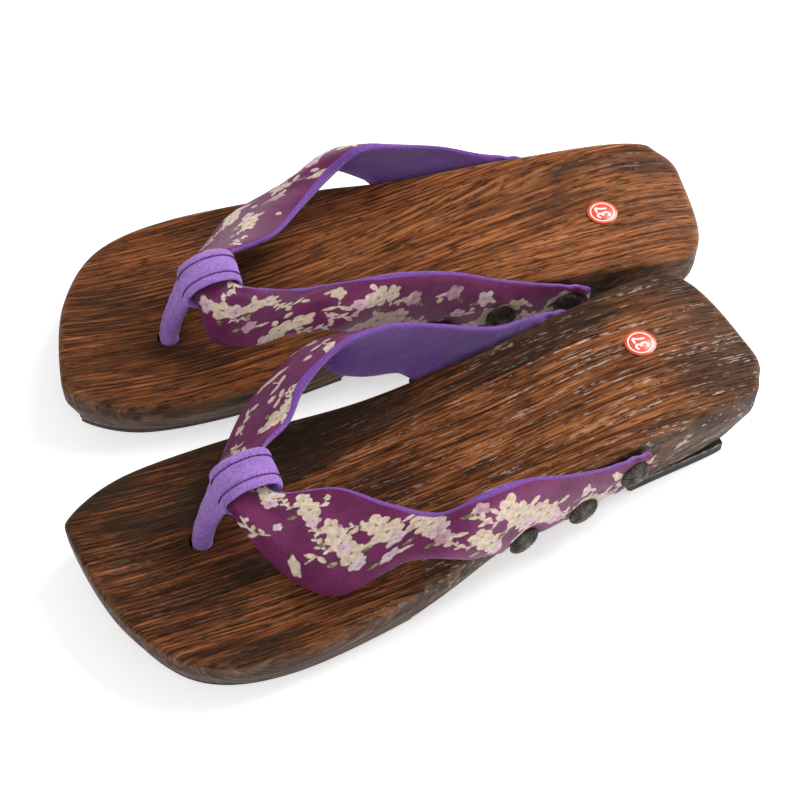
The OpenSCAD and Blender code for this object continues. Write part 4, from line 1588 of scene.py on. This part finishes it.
def flatStroke(path, half, z, thick):
    path = np.array(path, float)
    tangent = unit(np.gradient(path, axis=0))
    sideways = np.stack([-tangent[:, 1], tangent[:, 0]], 1)
    points = []
    for low in (z, z + thick):
        for i, p in enumerate(path):
            for k in (-1, 1):
                points.append((*(p + sideways[i] * half * k), low))
    n = len(path)
    faces = []
    for i in range(n - 1):
        a, b, c, d = 2 * i, 2 * i + 1, 2 * i + 3, 2 * i + 2
        faces += [(a, b, c, d), (2 * n + a, 2 * n + d, 2 * n + c, 2 * n + b), (a, d, 2 * n + d, 2 * n + a),
                  (b, 2 * n + b, 2 * n + c, c)]
    faces += [(0, 2 * n, 2 * n + 1, 1), (2 * n - 2, 2 * n - 1, 4 * n - 1, 4 * n - 2)]
    return np.array(points), faces


def makeLabel(side):
    shape = labelShape
    kind = slippers[side]
    x, y = labelSpot
    radius, low = shape["radius"], shape["low"]
    top = low + shape["thick"]
    profile = [(0, low), (radius - 0.1, low), (radius, low + 0.08),
               (radius, top - 0.08), (radius - 0.1, top), (0, top + 0.02)]
    disc, faces = lathe(profile, shape["segments"])
    disc[:, :2] += (x, y)
    addPiece(side, "label_disc", disc, faces, labelRed, ["size_label"], sharp=40)
    inner, outer = shape["ringInner"], shape["ringOuter"]
    profile = [(inner, top), (outer, top), (outer, top + 0.05), (inner, top + 0.05)]
    ring, faces = ringLathe(profile, shape["segments"])
    ring[:, :2] += (x, y)
    addPiece(side, "label_ring", ring, faces, labelWhite, sharp=40)
    parts = []
    for digit, shift in (("3", -1.45), ("7", 1.45)):
        for k, stroke in enumerate(shape["digits"][digit]):
            path = smoothLine(stroke, 6) * shape["height"] + [shift, 0]
            path = -path  # the figures read from the heel side, tops towards the toe
            path[:, 0] *= kind["mirror"]
            parts.append(flatStroke(path + [x, y], shape["stroke"], top + 0.02 * k, 0.05))
    points, faces = meshArrays(solidMesh("digits", *joined(parts)))
    addPiece(side, "label_digits", points, faces, labelWhite, sharp=40)


for side in slippers:
    makeSole(side)
    print(side, "planks made")
    makeRubbers(side)
    print(side, "rubbers made")
    makeNails(side)
    makeStrap(side)
    print(side, "strap made")
    makeToeLoop(side)
    makeCord(side)
    makeLabel(side)
    print(side, "loop, nails and label made")


# Stage, lights and camera

lighting = {
    "sky": 0.42,
    "glow": 0.5,
    "key": {"from": (-0.25, 0.95, 0.95), "size": 0.8, "power": 22.0},
    "fill": {"from": (0.75, -0.55, 1.0), "size": 1.4, "power": 5.0},
}


floorShape = {"rings": [0.3, 1.0, 3.0, 8.0], "segments": 64, "height": -0.0002}


def makeStage():
    material, tree, shader = newMaterial("pale_floor")
    coords = tree.nodes.new("ShaderNodeTexCoord").outputs["Object"]
    cloudy = noise(tree, coords, 3.0, 2.0, 0.5)
    tree.links.new(ramp(tree, cloudy, [(0.3, (0.86, 0.86, 0.865)), (0.7, (0.88, 0.88, 0.88))]),
                   shader.inputs["Base Color"])
    shader.inputs["Roughness"].default_value = 0.9
    shader.inputs["Specular IOR Level"].default_value = 0.1
    shader.inputs["Emission Color"].default_value = (1.0, 1.0, 1.0, 1)
    shader.inputs["Emission Strength"].default_value = lighting["glow"]
    rings, count, height = floorShape["rings"], floorShape["segments"], floorShape["height"]
    points, faces = [], []
    for radius in rings:
        for k in range(count):
            angle = 2 * math.pi * k / count
            points.append((radius * math.cos(angle), radius * math.sin(angle), height))
    points.append((0, 0, height))
    for k in range(count):
        faces.append((len(points) - 1, k, (k + 1) % count))
    for i in range(len(rings) - 1):
        for k in range(count):
            m = (k + 1) % count
            faces.append((i * count + k, (i + 1) * count + k, (i + 1) * count + m, i * count + m))
    mesh = bpy.data.meshes.new("floor")
    mesh.from_pydata(points, [], faces)
    mesh.materials.append(material)
    placed("floor", mesh)


def stand(item, x, y, back, place):
    item.matrix_world = Matrix([[x[i], y[i], back[i], place[i]] for i in range(3)] + [[0, 0, 0, 1]])


def addLight(name, look):
    data = bpy.data.lights.new(name, "AREA")
    data.shape = "SQUARE"
    data.size = look["size"]
    data.energy = look["power"]
    lamp = placed(name, data)
    back = unit(np.array(look["from"]))
    right = unit(np.cross((0, 0, 1), back))
    stand(lamp, right, np.cross(back, right), back, look["from"])


def makeLights():
    world = bpy.data.worlds.new("studio")
    world.use_nodes = True
    tree = world.node_tree
    sky = tree.nodes["Background"]
    sky.inputs["Color"].default_value = (1.0, 1.0, 1.0, 1)
    seen = tree.nodes.new("ShaderNodeLightPath").outputs["Is Camera Ray"]
    tree.links.new(spread(tree, seen, 0.0, 1.0, lighting["sky"], 1.0), sky.inputs["Strength"])
    scene.world = world
    addLight("key", lighting["key"])
    addLight("fill", lighting["fill"])
    scene.view_settings.view_transform = "Standard"


cameraView = {
    "target": (-0.25, 0.26, 0.0),
    "distance": 616.0,
    "azimuth": 70.43,
    "elevation": 53.27,
    "roll": 0.235,
    "lens": 76.77,
}


def makeCamera():
    look = cameraView
    azimuth, elevation = math.radians(look["azimuth"]), math.radians(look["elevation"])
    back = np.array([math.cos(elevation) * math.sin(azimuth), -math.cos(elevation) * math.cos(azimuth),
                     math.sin(elevation)])
    right = np.array([math.cos(azimuth), math.sin(azimuth), 0.0])
    up = np.cross(back, right)
    roll = math.radians(look["roll"])
    x = math.cos(roll) * right + math.sin(roll) * up
    y = -math.sin(roll) * right + math.cos(roll) * up
    place = (np.array(look["target"]) + look["distance"] * back) / 1000
    data = bpy.data.cameras.new("camera")
    data.lens = look["lens"]
    data.sensor_width = 36.0
    data.clip_start = 0.01
    data.clip_end = 50.0
    camera = placed("camera", data)
    stand(camera, x, y, back, place)
    scene.camera = camera


makeStage()
makeLights()
makeCamera()
print("stage, lights and camera made")

bpy.context.view_layer.update()
